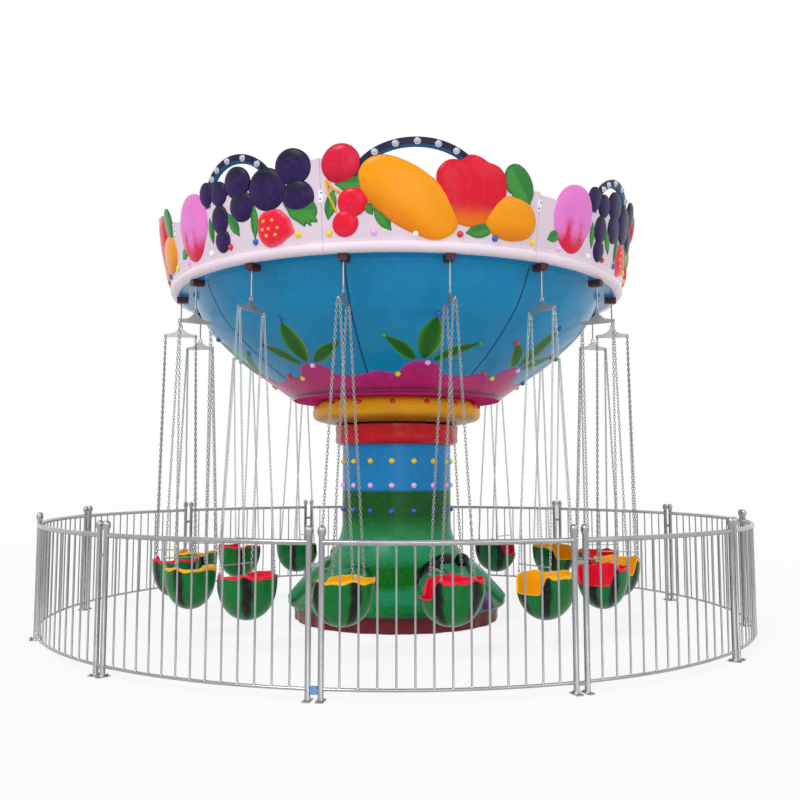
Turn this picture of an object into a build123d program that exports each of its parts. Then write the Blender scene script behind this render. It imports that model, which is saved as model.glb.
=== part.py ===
from build123d import *
import math
import os

os.makedirs("parts", exist_ok=True)

# Driving dimensions, in millimetres and degrees. A "turn" is an angle about the ride's
# axis: turn 0 faces the approach side (-Y) and turns grow to the right (+X).
SWINGS = 16
SECTORS = 8
FIRST_JOINT = -14.9

FENCE_R = 3560
FENCE_PANELS = 12
FENCE_TURN = -8.9
RAIL_Z = 1050
RAIL_R = 19
FOOT_RAIL_Z = 80
FOOT_RAIL_R = 12
BARS = 13
BAR_R = 8
POST_R = 21
POST_TOP = 1084
POST_GAP = 90
CAP_R = 31
CAP_H = 34
FINIAL_R = 31
FINIAL_TOP = 1163
FOOT_W = 76
FOOT_L = 110
FOOT_T = 8
CLAMP_LOW = 72
CLAMP_HIGH = 900
CLAMP_T = 22
CLAMP_H = 30

PLINTH_R = 1100
PLINTH_H = 190
SKIRT_R = 1150
SKIRT_LIP = 25
FLARE_TOP = 1010
COLUMN_R = 583
COLUMN_LOW = 1400
DRUM_TOP = 2036
DRUM_H = 206
DRUM_OUT = 82

MAST_R = 200
SHOULDER_R = 310
HUB_R = 320
HUB_LIFT = 24
HUB_GAP = 5
FLOOR_T = 14
ARM_W = 60
ARM_H = 80
RING_R = 909
RING_LIP = 220

BEAM_R = 2325
BEAM_T = 8
LEDGE_W = 170
RIM_LOW = 3364
ROLL_H = 94
ROLL_OUT = 88
SKIN = 12
HULL_FLOOR_Z = 2300
HULL_FOOT_R = 1135
HULL_IN = 25
HULL_JOINT = -12
JOINT_GAP = 4

CROWN_H = 828
WALL_OUT = 80
PANEL_T = 26
PANEL_LEAN = 9
ARCH_BAND = 77

PIVOT_IN = 25
PIN_R = 8
PIN_DROP = 34
BRACKET_W = 84
BRACKET_H = 60
BRACKET_L = 116
SLOT_L = 66
EYE_R = 20
EYE_T = 14
ROD_R = 8
ROD_DROP = 298
SPREADER_H = 90
SPREADER_HALF = 170
SPREADER_END = 34
SPREADER_T = 10
LINK_R = 24
SEAT_RIM = 675
SEAT_H = 400
SEAT_R = 233
SEAT_L = 280
SEAT_T = 20
SEAT_SIDES = 16
FRONT_IN = 165
FRONT_DROP = 162
FRONT_ROUND = 55
LAP_RISE = 65
LAP_R = 6
CHAIN_W = 14
FIT = 0.3

DRUM_R = COLUMN_R + DRUM_OUT
DRUM_LOW = DRUM_TOP - DRUM_H
HUB_LOW = DRUM_TOP + HUB_LIFT
HUB_BORE = MAST_R + HUB_GAP
RIM_R = BEAM_R + ROLL_OUT
RIM_HIGH = RIM_LOW + ROLL_H
LEDGE_IN = BEAM_R - LEDGE_W
HULL_TOP_R = LEDGE_IN + HULL_IN
PANEL_LOW_R = BEAM_R + WALL_OUT
TOTAL_H = RIM_HIGH + CROWN_H
PIVOT_R = BEAM_R - PIVOT_IN
PIVOT_Z = RIM_LOW - PIN_DROP
SPREADER_TOP = PIVOT_Z - ROD_DROP
SPREADER_LOW = SPREADER_TOP - SPREADER_H
SEAT_LOW = SEAT_RIM - SEAT_H
SECTOR = 360 / SECTORS
SWING_STEP = 360 / SWINGS
PANEL_STEP = 360 / FENCE_PANELS


def save(name, shape):
    export_step(shape, f"parts/{name}.step")


def turned(shape, turn):
    """Moves a shape drawn on the approach side round the ride's axis."""
    return Rotation(0, 0, turn) * shape


def section(*points):
    """A closed radius-height outline, ready to be revolved about the ride's axis."""
    return Plane.XZ * make_face(Polyline(*points, close=True))


def ring(*points):
    return revolve(section(*points), Axis.Z)


def sector(outline, span, middle):
    """Revolves an outline through a span that is centred on a turn."""
    return Rotation(0, 0, middle - 90 - span / 2) * revolve(outline, Axis.Z, span)


def rod(start, end, radius, sides=0):
    """A straight bar between two points, round or with a few flat sides."""
    run = Vector(*end) - Vector(*start)
    foot = Plane(origin=start, z_dir=run)
    outline = RegularPolygon(radius, sides) if sides else Circle(radius)
    return extrude(foot * outline, run.length)


def faceted(rings):
    """A closed solid with flat sides through rings of points, lowest ring first."""
    faces = [Face(Wire.make_polygon(rings[0])), Face(Wire.make_polygon(rings[-1]))]
    for low, high in zip(rings, rings[1:]):
        for i in range(len(low)):
            j = (i + 1) % len(low)
            faces.append(Face(Wire.make_polygon([low[i], low[j], high[j], high[i]])))
    return Solid(Shell(faces))


def finial():
    """Flared cup on the post with a ball sunk in it, its few sides told by the ball's own angles."""
    middle = FINIAL_TOP - FINIAL_R
    ball = [(FINIAL_R * math.cos(a), middle + FINIAL_R * math.sin(a)) for a in (
        math.radians(d) for d in (0, 40, 70))]
    outline = Plane.XZ * make_face(Polyline(
        (0, POST_TOP - 6), (POST_R - 2, POST_TOP - 6), (POST_R + 1, POST_TOP), (CAP_R, POST_TOP + CAP_H),
        *ball, (0, FINIAL_TOP), close=True))
    return revolve(outline, Axis.Z)


# Fence: twelve curved panels of stainless tube, each with its own two end posts.
def fence_panel(turn):
    """One panel to the right of the post pair at this turn."""
    inset = math.degrees(math.asin(POST_GAP / 2 / FENCE_R))
    left, right = turn + inset, turn + PANEL_STEP - inset
    span, middle = right - left, (left + right) / 2

    def rail(height, radius):
        outline = Plane.XZ * Pos(FENCE_R, height) * RegularPolygon(radius, 6)
        return sector(outline, span, middle)

    parts = [rail(RAIL_Z, RAIL_R), rail(FOOT_RAIL_Z, FOOT_RAIL_R)]
    for i in range(BARS):
        at = left + span * (i + 1) / (BARS + 1)
        bar = rod((0, -FENCE_R, FOOT_RAIL_Z), (0, -FENCE_R, RAIL_Z), BAR_R, 4)
        parts.append(turned(bar, at))
    for at in (left, right):
        post = Pos(0, -FENCE_R, 0) * extrude(RegularPolygon(POST_R, 8), POST_TOP)
        foot = Pos(0, -FENCE_R, FOOT_T / 2) * Box(FOOT_W, FOOT_L, FOOT_T)
        parts += [turned(piece, at) for piece in (post, Pos(0, -FENCE_R, 0) * finial(), foot)]
    body = parts[0].fuse(*parts[1:])
    next_post = Pos(0, -FENCE_R, 0) * extrude(RegularPolygon(POST_R, 8), POST_TOP)
    next_post = turned(next_post, turn + PANEL_STEP + inset)
    for height in (CLAMP_LOW, CLAMP_HIGH):
        clamp = Pos(POST_GAP / 2, -FENCE_R, height) * Box(POST_GAP, CLAMP_T, CLAMP_H)
        clamp = turned(clamp, right)
        body = body + (clamp - next_post)
    return body


panel = fence_panel(FENCE_TURN)
for k in range(FENCE_PANELS):
    save(f"fence_panel_{k + 1:02d}", turned(panel, k * PANEL_STEP))

# Fixed core: a plinth, a flared skirt with petals, a round column, a drum and a steel mast.
save("base_plate", ring(
    (0, 0), (PLINTH_R - 12, 0), (PLINTH_R, PLINTH_H / 3), (PLINTH_R - 4, PLINTH_H), (0, PLINTH_H)))


def flare(share):
    """Point of the skirt's flare, from its top at share 0 to its foot at 1."""
    reach, fall = SKIRT_R - COLUMN_R, FLARE_TOP - PLINTH_H
    return COLUMN_R + reach * share ** 1.7 * (1.55 - 0.55 * share), FLARE_TOP - fall * share ** 0.82


def skirt_petal(turn, half_w, half_h, depth):
    """A raised petal that lies along the flare, centred two thirds of the way down."""
    (r_low, z_low), (r_high, z_high) = flare(0.78), flare(0.62)
    slope = math.atan2(z_high - z_low, r_low - r_high)
    normal = (0, -math.sin(slope), math.cos(slope))
    place = Plane(origin=(0, -(r_low + r_high) / 2, (z_low + z_high) / 2), x_dir=(1, 0, 0), z_dir=normal)
    return Rotation(0, 0, turn) * place.location * dome(half_w, half_h, 0, depth, 12)


# Petals of the skirt: turn, half width, half length and height of each. The pattern comes
# twice round the base.
PETALS = [(-76, 190, 330, 75), (-31, 200, 300, 60), (26, 200, 300, 60), (52, 120, 260, 50), (78, 190, 330, 75)]


def dome(half_w, half_h, tilt, depth, sides=10):
    """A raised oval with bevelled sides, drawn on a plane and sunk into what carries it."""
    def oval(scale, lift):
        turn = math.radians(tilt)
        points = []
        for n in range(sides):
            a = 2 * math.pi * (n + 0.5) / sides
            u, v = scale * half_w * math.cos(a), scale * half_h * math.sin(a)
            points.append((u * math.cos(turn) - v * math.sin(turn), u * math.sin(turn) + v * math.cos(turn), lift))
        return points
    return faceted([oval(0.96, -PANEL_T + 6), oval(1, 0), oval(0.82, depth * 0.65), oval(0.45, depth)])


edge = Spline(*[flare(share) for share in (1, 0.85, 0.7, 0.5, 0.3, 0.12, 0)])
skirt_outline = Plane.XZ * make_face(Wire([
    edge, *Polyline(
        (COLUMN_R, FLARE_TOP), (COLUMN_R, COLUMN_LOW), (0, COLUMN_LOW), (0, PLINTH_H), (PLINTH_R + FIT, PLINTH_H),
        (PLINTH_R + FIT, PLINTH_H - SKIRT_LIP), (SKIRT_R - 12, PLINTH_H - SKIRT_LIP), (SKIRT_R, PLINTH_H)).edges()]))
skirt = revolve(skirt_outline, Axis.Z)
petals = [skirt_petal(turn + half, w, h, deep) for turn, w, h, deep in PETALS for half in (0, 180)]
petals = [petal - ring((0, 0), (2 * SKIRT_R, 0), (2 * SKIRT_R, PLINTH_H), (0, PLINTH_H)) for petal in petals]
save("base_skirt", skirt.fuse(*petals))
save("column", ring((0, COLUMN_LOW), (COLUMN_R, COLUMN_LOW), (COLUMN_R, DRUM_LOW), (0, DRUM_LOW)))
save("drum", ring(
    (0, DRUM_LOW), (DRUM_R - 45, DRUM_LOW), (DRUM_R - 10, DRUM_LOW + 25),
    (DRUM_R, DRUM_LOW + 60), (DRUM_R, DRUM_TOP), (0, DRUM_TOP)))
save("mast", ring(
    (0, DRUM_TOP), (SHOULDER_R, DRUM_TOP), (SHOULDER_R, HUB_LOW - FIT),
    (MAST_R, HUB_LOW - FIT), (MAST_R, RIM_HIGH + 60), (0, RIM_HIGH + 60)))

# Rotor: hub with a floor plate, radial arms and a ring beam, and the shells they carry.
FLOOR_LOW = HULL_FLOOR_Z + SKIN
save("hub", ring(
    (HUB_BORE, HUB_LOW), (HUB_R, HUB_LOW), (HUB_R, FLOOR_LOW), (HULL_FOOT_R - 60, FLOOR_LOW),
    (HULL_FOOT_R - 60, FLOOR_LOW + FLOOR_T), (HUB_R, FLOOR_LOW + FLOOR_T), (HUB_R, RIM_HIGH + 40),
    (HUB_BORE, RIM_HIGH + 40)))

arm = Pos(0, -BEAM_R / 2, RIM_LOW + BEAM_T + ARM_H / 2) * Box(ARM_W, BEAM_R, ARM_H)
arm = arm & ring(
    (HUB_R + FIT, RIM_LOW), (BEAM_R - BEAM_T - FIT, RIM_LOW),
    (BEAM_R - BEAM_T - FIT, RIM_HIGH), (HUB_R + FIT, RIM_HIGH))
save("arms", Compound(children=[turned(arm, FIRST_JOINT + SECTOR * k) for k in range(SECTORS)]))

save("ring_beam", ring(
    (LEDGE_IN, RIM_LOW), (BEAM_R, RIM_LOW), (BEAM_R, RIM_HIGH - 6), (BEAM_R - BEAM_T, RIM_HIGH - 6),
    (BEAM_R - BEAM_T, RIM_LOW + BEAM_T), (LEDGE_IN, RIM_LOW + BEAM_T)))


def bowl(reach, rise, inset=0):
    """Point of the bowl's curve, by its shares of the way out and up from the foot."""
    foot = HULL_FOOT_R, HULL_FLOOR_Z + 3 * SKIN
    return foot[0] + (HULL_TOP_R - foot[0]) * reach - inset, foot[1] + (RIM_LOW - foot[1]) * rise


# Each petal of the bowl: an inward foot flange, a turned corner and the swelling side.
BOWL = [(0, 0), (0.25, 0.18), (0.48, 0.345), (0.76, 0.6), (0.9, 0.79), (1, 1)]
side = Spline(*[bowl(*shares) for shares in BOWL])
lining = Spline(*[bowl(*shares, SKIN) for shares in reversed(BOWL)])
inside = Polyline(
    bowl(0, 0, SKIN), (HULL_FOOT_R - 3 * SKIN, HULL_FLOOR_Z + SKIN), (HUB_R + 3 * FIT, HULL_FLOOR_Z + SKIN),
    (HUB_R + 3 * FIT, HULL_FLOOR_Z), (HULL_FOOT_R - 2 * SKIN, HULL_FLOOR_Z), bowl(0, 0))
petal_outline = Plane.XZ * make_face(Wire([side, Line(side @ 1, lining @ 0), lining, *inside.edges()]))
seam = math.degrees(JOINT_GAP / HULL_TOP_R)
petal = sector(petal_outline, SECTOR - seam, HULL_JOINT + SECTOR / 2)
save("hull_panels", Compound(children=[turned(petal, SECTOR * k) for k in range(SECTORS)]))

saucer = Spline(
    (DRUM_R + 30, DRUM_TOP + 18), (RING_R - 35, HULL_FLOOR_Z - RING_LIP + 20), (RING_R, HULL_FLOOR_Z - RING_LIP / 2 - 8),
    (RING_R - 35, HULL_FLOOR_Z - 48), (RING_R - 110, HULL_FLOOR_Z))
saucer_back = Polyline(
    saucer @ 1, (HUB_R + FIT, HULL_FLOOR_Z), (HUB_R + FIT, HULL_FLOOR_Z - 30), (DRUM_R - 60, HULL_FLOOR_Z - 30),
    (DRUM_R, DRUM_TOP + 18), saucer @ 0)
save("gold_ring", revolve(Plane.XZ * make_face(Wire([saucer, *saucer_back.edges()])), Axis.Z))

# Crown: eight leaning mouldings in two fruit designs. Each has its length of rim roll, a
# wall with a shaped top edge, raised fruit and a handle-like arch that stands on them.
LEAN = math.tan(math.radians(PANEL_LEAN))


def on_wall(x, z):
    """Plane on the wall's outer face, x along the arc from the panel's middle, z the height."""
    radius = PANEL_LOW_R + (z - RIM_HIGH) * LEAN
    turn = math.degrees(x / radius)
    lean_out = math.radians(PANEL_LEAN)
    plane = Plane(origin=(0, -radius, z), x_dir=(1, 0, 0), z_dir=(0, -math.cos(lean_out), -math.sin(lean_out)))
    return Rotation(0, 0, turn) * plane.location


# The crown's outlines are drawn on a panel 1889 wide and 828 high, and stretch with it.
WIDE = math.radians(SECTOR) * PANEL_LOW_R / 1889
HIGH = CROWN_H / 828


def crown_panel(top, fruit, arch_x, arch_r, arch_drop):
    """One moulding, centred on turn 0; shapes are given as distances along the wall."""
    rise = CROWN_H + 60
    half = math.radians(SECTOR) / 2 * PANEL_LOW_R * 1.06
    wall = section(
        (PANEL_LOW_R - PANEL_T, RIM_HIGH - 1), (PANEL_LOW_R, RIM_HIGH - 1),
        (PANEL_LOW_R + rise * LEAN, RIM_HIGH + rise), (PANEL_LOW_R - PANEL_T + rise * LEAN, RIM_HIGH + rise))
    wall = sector(wall, SECTOR, 0)
    crest = [(x * WIDE, RIM_HIGH + up * HIGH) for x, up in reversed(top)]
    face = extrude(Plane.XZ * make_face(Polyline(
        (-half, RIM_HIGH - 2), (half, RIM_HIGH - 2), *crest, close=True)), 2 * BEAM_R)
    foot, head, middle = WALL_UP * HIGH - 40, CROWN_H - arch_drop * HIGH, arch_x * WIDE
    outer, inner = arch_r * WIDE, arch_r * WIDE - ARCH_BAND
    handle = [(middle - outer, RIM_HIGH + foot), (middle, RIM_HIGH + head), (middle + outer, RIM_HIGH + foot)]
    hollow = [(middle + inner, RIM_HIGH + foot), (middle, RIM_HIGH + head - ARCH_BAND), (middle - inner, RIM_HIGH + foot)]
    band = Plane.XZ * make_face(Wire([
        ThreePointArc(*handle), Line(handle[2], hollow[0]), ThreePointArc(*hollow), Line(hollow[2], handle[0])]))
    arch = wall & extrude(band, 2 * BEAM_R)
    roll = ring(
        (BEAM_R + FIT, RIM_LOW), (RIM_R - 22, RIM_LOW), (RIM_R - 5, RIM_LOW + 14), (RIM_R, RIM_LOW + 34),
        (RIM_R, RIM_HIGH - 34), (RIM_R - 5, RIM_HIGH - 14), (RIM_R - 22, RIM_HIGH), (BEAM_R + FIT, RIM_HIGH))
    lumps = [
        on_wall(x * WIDE, RIM_HIGH + up * HIGH) * dome(w * HIGH, h * HIGH, tilt, deep * HIGH)
        for x, up, w, h, tilt, deep in fruit]
    whole = roll.fuse(wall & face, arch, *lumps)
    gap = math.degrees(JOINT_GAP / PANEL_LOW_R)
    return whole & sector(section(
        (BEAM_R, RIM_LOW), (RIM_R + CROWN_H, RIM_LOW), (RIM_R + CROWN_H, TOTAL_H), (BEAM_R, TOTAL_H)), SECTOR - gap, 0)


# Fruit and leaves: place along the wall and above the rim roll, half width, half height,
# tilt and depth.
WALL_UP = 502
FRUIT_A = [
    (-505, 322, 235, 300, 0, 45), (-237, 558, 92, 105, 0, 32), (-59, 530, 105, 104, 0, 34),
    (180, 581, 140, 132, 0, 36), (210, 372, 132, 126, 0, 36), (497, 474, 178, 174, 0, 40),
    (768, 627, 158, 148, 0, 38), (790, 378, 140, 132, 0, 36), (-74, 307, 104, 124, 0, 34),
    (-63, 118, 92, 98, 0, 32), (528, 146, 169, 147, 0, 34),
    (790, 218, 133, 91, 0, 18), (93, 234, 80, 99, 0, 18), (337, 214, 45, 119, 0, 18), (-218, 235, 52, 113, 0, 18)]
FRUIT_B = [
    (-775, 618, 170, 163, 0, 46), (-683, 302, 124, 120, 0, 38), (-741, 129, 110, 108, 0, 36),
    (-228, 336, 450, 252, -36, 55), (302, 404, 330, 296, 0, 50), (741, 542, 140, 130, 0, 22),
    (659, 219, 238, 190, 0, 46), (-440, 156, 66, 90, 0, 18), (-871, 289, 45, 90, 0, 18),
    (390, 86, 124, 57, 0, 18)]
TOP_A = [
    (-1000, 472), (-700, 442), (-240, 502), (500, 502), (700, 592), (850, 682), (1000, 682)]
TOP_B = [
    (-1000, 682), (-860, 682), (-620, 542), (-300, 492), (60, 502), (700, 502), (1000, 472)]
side_a = crown_panel(TOP_A, FRUIT_A, 170, 445, 0)
side_b = crown_panel(TOP_B, FRUIT_B, -175, 560, 18)
for name, side, first in (("crown_panels_a", side_a, 1), ("crown_panels_b", side_b, 0)):
    save(name, Compound(children=[
        turned(side, FIRST_JOINT + SECTOR * (k + 0.5)) for k in range(first, SECTORS, 2)]))


# Swings: a pinned steel rod, a spreader plate, four chains and a half-melon seat.
def bracket():
    """Cast block under the rim with a long slot for the rod's eye and a pin across it."""
    inward = (BRACKET_L - SLOT_L) / 2 - 12
    block = Pos(0, inward, -BRACKET_H / 2) * Box(BRACKET_W, BRACKET_L, BRACKET_H)
    block = fillet(block.edges().filter_by(Axis.Y).group_by(Axis.Z)[0], BRACKET_H / 3)
    slot = Pos(0, 0, -BRACKET_H / 2 - 8) * Box(EYE_T + 2, SLOT_L, BRACKET_H)
    pin = Pos(-BRACKET_W / 2 + 8, 0, -PIN_DROP) * Rot(0, 90, 0) * extrude(Circle(PIN_R), BRACKET_W - 16)
    return block - slot + pin


save("brackets", Compound(children=[
    turned(Pos(0, -PIVOT_R, RIM_LOW) * bracket(), SWING_STEP * (k + 0.5)) for k in range(SWINGS)]))


def spreader():
    """Rod with an eye round the bracket's pin, a ring below it and the plate that it carries."""
    eye = Pos(-EYE_T / 2, 0, PIVOT_Z) * Rot(0, 90, 0) * extrude(Circle(EYE_R), EYE_T)
    shank = rod((0, 0, SPREADER_TOP - SPREADER_H / 3), (0, 0, PIVOT_Z), ROD_R, 8)
    link = Circle(LINK_R) - Circle(LINK_R - 12)
    link = Pos(-6, 0, SPREADER_TOP + LINK_R - 4) * Rot(0, 90, 0) * extrude(link, 12)
    hump, tip = SPREADER_T * 2.4, SPREADER_HALF - SPREADER_END / 2
    slopes = []
    for way in (-1, 1):
        slopes.append(ThreePointArc(
            (way * hump, SPREADER_TOP), (way * tip * 0.48, SPREADER_LOW + SPREADER_H * 0.53),
            (way * tip, SPREADER_LOW + SPREADER_END)))
        slopes.append(ThreePointArc(
            (way * tip, SPREADER_LOW + SPREADER_END), (way * SPREADER_HALF, SPREADER_LOW + SPREADER_END / 2),
            (way * tip, SPREADER_LOW)))
    flats = [Line((-hump, SPREADER_TOP), (hump, SPREADER_TOP)), Line((-tip, SPREADER_LOW), (tip, SPREADER_LOW))]
    plate = extrude(Plane.YZ * make_face(Wire(slopes + flats)), SPREADER_T / 2, both=True)
    hole = Pos(-BRACKET_W, 0, PIVOT_Z) * Rot(0, 90, 0) * extrude(Circle(PIN_R + FIT), 2 * BRACKET_W)
    return eye + shank + link + plate - hole


# Where the chains meet the seat's rim: ahead of and behind its middle, and to each side.
FRONT_HOOK = (-0.475 * SEAT_L, 0.833 * SEAT_R)
BACK_HOOK = (0.507 * SEAT_L, 0.814 * SEAT_R)
CHAIN_TOP = SPREADER_LOW + SPREADER_END / 2


def chains():
    """Four straight chain runs from both faces of the plate's ends to the seat's rim."""
    beside = SPREADER_T / 2 + CHAIN_W / 2 + FIT
    runs = []
    for side in (-1, 1):
        for (x, y), way in ((FRONT_HOOK, -1), (BACK_HOOK, 1)):
            top = (way * beside, side * (SPREADER_HALF - SPREADER_END / 2), CHAIN_TOP)
            runs.append(rod(top, (x, side * y, SEAT_RIM + 3 * FIT), CHAIN_W / 2, 4))
    return runs


def lap_bar():
    """Safety bar between the two front chains, just above the rim."""
    share = LAP_RISE / (CHAIN_TOP - SEAT_RIM)
    x = FRONT_HOOK[0] * (1 - share) - SPREADER_T * share
    end = FRONT_HOOK[1] * (1 - share) + (SPREADER_HALF - SPREADER_END / 2) * share - CHAIN_W / 2 - FIT
    return rod((x, -end, SEAT_RIM + LAP_RISE), (x, end, SEAT_RIM + LAP_RISE), LAP_R, 8)


def seat():
    """Half-melon tub with a U-shaped cut in front; the front looks along -X at turn 0."""
    def tub(inset, depth, floor):
        rings = []
        for level in (0.0, 0.12, 0.3, 0.5, 0.75, 1.0):
            share = level ** 1.6
            out = math.sqrt(max(0.07, 1 - (1 - share) ** 2.8))
            rings.append([
                ((SEAT_L - inset) * out * math.cos(a), (SEAT_R - inset) * out * math.sin(a), floor + depth * share)
                for a in (2 * math.pi * (n + 0.5) / SEAT_SIDES for n in range(SEAT_SIDES))])
        return faceted(rings)
    outer = tub(0, SEAT_H, SEAT_LOW)
    void = tub(SEAT_T, SEAT_H - SEAT_T + 1, SEAT_LOW + SEAT_T)
    front = Box(SEAT_L, 2 * SEAT_R, 2 * FRONT_DROP)
    front = fillet(front.edges().filter_by(Axis.X).group_by(Axis.Z)[0], FRONT_ROUND)
    return outer - void - Pos(-FRONT_IN - SEAT_L / 2, 0, SEAT_RIM) * front


one_swing = [spreader(), *chains(), lap_bar()]
one_seat = seat()
for k in range(SWINGS):
    place = Rotation(0, 0, SWING_STEP * (k + 0.5)) * Pos(0, -PIVOT_R, 0)
    save(f"hanger_{k + 1:02d}", Compound(children=[place * piece for piece in one_swing]))
    save(f"seat_{k + 1:02d}", place * one_seat)
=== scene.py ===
import math

import bmesh
import bpy
import numpy as np
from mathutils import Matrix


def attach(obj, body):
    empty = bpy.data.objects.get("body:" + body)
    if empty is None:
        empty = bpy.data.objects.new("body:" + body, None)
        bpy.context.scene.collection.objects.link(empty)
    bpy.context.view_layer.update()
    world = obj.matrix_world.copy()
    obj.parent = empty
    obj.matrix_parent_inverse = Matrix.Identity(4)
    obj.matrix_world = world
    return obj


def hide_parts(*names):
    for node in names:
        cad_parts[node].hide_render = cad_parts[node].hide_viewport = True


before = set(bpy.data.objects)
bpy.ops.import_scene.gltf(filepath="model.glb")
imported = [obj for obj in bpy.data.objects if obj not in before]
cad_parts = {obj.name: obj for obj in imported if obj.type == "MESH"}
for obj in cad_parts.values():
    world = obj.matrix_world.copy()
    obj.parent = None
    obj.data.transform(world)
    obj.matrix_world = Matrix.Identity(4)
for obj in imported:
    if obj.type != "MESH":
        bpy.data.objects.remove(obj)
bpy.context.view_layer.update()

# Studio. A pale floor under an even white sky, a soft sun from the left front and two weak ones
# from the right and from low in front. Camera, metal and glass see floor and sky as plain white.
# The camera stands 9.5 m in front of the mast, as high as a child on a parent's shoulders.
stage = bpy.context.scene
stage.view_settings.view_transform = "Standard"

camera = bpy.data.objects.new("camera", bpy.data.cameras.new("camera"))
camera.data.lens = 39.38
camera.location = (0, -9.508, 1.491)
camera.rotation_euler = (math.radians(95.024), 0, math.radians(-0.221))
stage.collection.objects.link(camera)
stage.camera = camera


def linear(hex_colour):
    """An sRGB hex colour as the linear red, green, blue and alpha that a shader takes."""
    parts = [int(hex_colour[i:i + 2], 16) / 255 for i in (1, 3, 5)]
    return (*[p / 12.92 if p <= 0.04045 else ((p + 0.055) / 1.055) ** 2.4 for p in parts], 1)


def feed(shader, inputs):
    """Sets a node's inputs, or links them where another node's socket is given."""
    for name, value in inputs.items():
        if isinstance(value, bpy.types.NodeSocket):
            shader.id_data.links.new(value, shader.inputs[name])
        else:
            shader.inputs[name].default_value = value


def node(tree, kind, inputs=None, **settings):
    """Adds one shader node with its settings and its inputs."""
    made = tree.nodes.new("ShaderNode" + kind)
    for name, value in settings.items():
        setattr(made, name, value)
    feed(made, inputs or {})
    return made


def background_rays(tree):
    """1 for rays from the camera, from a reflection or through glass, else 0."""
    rays = node(tree, "LightPath").outputs
    seen = node(tree, "Math", {0: rays["Is Camera Ray"], 1: rays["Is Glossy Ray"]}, operation="MAXIMUM")
    return node(tree, "Math", {0: seen.outputs[0], 1: rays["Is Transmission Ray"]}, operation="MAXIMUM").outputs[0]


sky = bpy.data.worlds.new("studio_sky")
sky.use_nodes = True
stage.world = sky
tree = sky.node_tree
tree.nodes.clear()
soft = node(tree, "Background", {"Color": linear("#E9EEF4"), "Strength": 0.66})
white = node(tree, "Background", {"Color": (1, 1, 1, 1), "Strength": 1})
both = node(tree, "MixShader", {0: background_rays(tree), 1: soft.outputs[0], 2: white.outputs[0]})
node(tree, "OutputWorld", {"Surface": both.outputs[0]})

for name, strength, angle, lean, turn in (
        ("sun_left", 1.25, 24, 48, -32), ("sun_right", 0.4, 40, 62, 48), ("sun_low", 0.4, 30, 84, 6)):
    lamp = bpy.data.objects.new(name, bpy.data.lights.new(name, "SUN"))
    lamp.data.energy = strength
    lamp.data.angle = math.radians(angle)
    lamp.rotation_euler = (math.radians(lean), 0, math.radians(turn))
    stage.collection.objects.link(lamp)

FLOOR_HALF, FLOOR_Z, FLOOR_GLOW = 60, -0.002, 0.84
floor_mesh = bpy.data.meshes.new("floor")
corners = [(x * FLOOR_HALF, y * FLOOR_HALF, FLOOR_Z) for x, y in ((-1, -1), (1, -1), (1, 1), (-1, 1))]
floor_mesh.from_pydata(corners, [], [(0, 1, 2, 3)])
floor = bpy.data.objects.new("floor", floor_mesh)
stage.collection.objects.link(floor)
matt = bpy.data.materials.new("matt_floor_paint")
matt.use_nodes = True
tree = matt.node_tree
tree.nodes.clear()
pale = node(tree, "BsdfDiffuse", {"Color": linear("#FAFAFA")})
glow = node(tree, "Emission", {"Color": (1, 1, 1, 1), "Strength": 1})
share = node(tree, "Math", {0: background_rays(tree), 1: FLOOR_GLOW}, operation="MULTIPLY")
both = node(tree, "MixShader", {0: share.outputs[0], 1: pale.outputs[0], 2: glow.outputs[0]})
node(tree, "OutputMaterial", {"Surface": both.outputs[0]})
floor_mesh.materials.append(matt)


# Fence. Twelve curved panels of polished stainless tube: a hand rail, a foot rail and thirteen
# bars welded between two posts, which stand on bolted plates and end in a turned cap and ball.
# Panels are clamped to each other in pairs.
def turned(points, turn):
    """Points carried round the ride's axis; turn 0 faces the approach side, + to its right."""
    c, s = math.cos(math.radians(turn)), math.sin(math.radians(turn))
    x, y, z = np.asarray(points, float).T
    return np.stack([c * x - s * y, s * x + c * y, z], 1)


def placed(part, turn=0, by=(0, 0, 0)):
    """A part (its points and faces) shifted, then carried round the axis."""
    points, faces = part
    return turned(np.asarray(points, float) + np.asarray(by, float), turn), faces


def around(parts, turns):
    """A copy of the parts at each turn."""
    return [placed(part, turn) for turn in turns for part in parts]


def unit(vectors):
    return vectors / np.maximum(np.linalg.norm(vectors, axis=-1, keepdims=True), 1e-12)


def quads(rows, columns, ring=False, loop=False, over=False):
    """Faces between rows of points. ring joins the last row to the first, loop the ends of
    each row, and over turns the faces over."""
    faces = []
    for i in range(rows if ring else rows - 1):
        a, b = i * columns, (i + 1) % rows * columns
        for j in range(columns if loop else columns - 1):
            k = (j + 1) % columns
            faces.append((a + j, a + k, b + k, b + j) if over else (a + j, b + j, b + k, a + k))
    return faces


def ends(rows, columns):
    """Faces that close the first and the last row."""
    return [tuple(range(columns))[::-1], tuple((rows - 1) * columns + j for j in range(columns))]


def spun(outline, turns, close=False):
    """Surface of a radius-height outline carried round the axis. Outside faces go up it."""
    turns = np.radians(np.asarray(turns, float))
    r, z = np.asarray(outline, float).T
    points = np.stack([np.outer(np.sin(turns), r), -np.outer(np.cos(turns), r), np.tile(z, (len(turns), 1))], 2)
    return points.reshape(-1, 3), quads(len(turns), len(r), ring=close)


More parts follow.
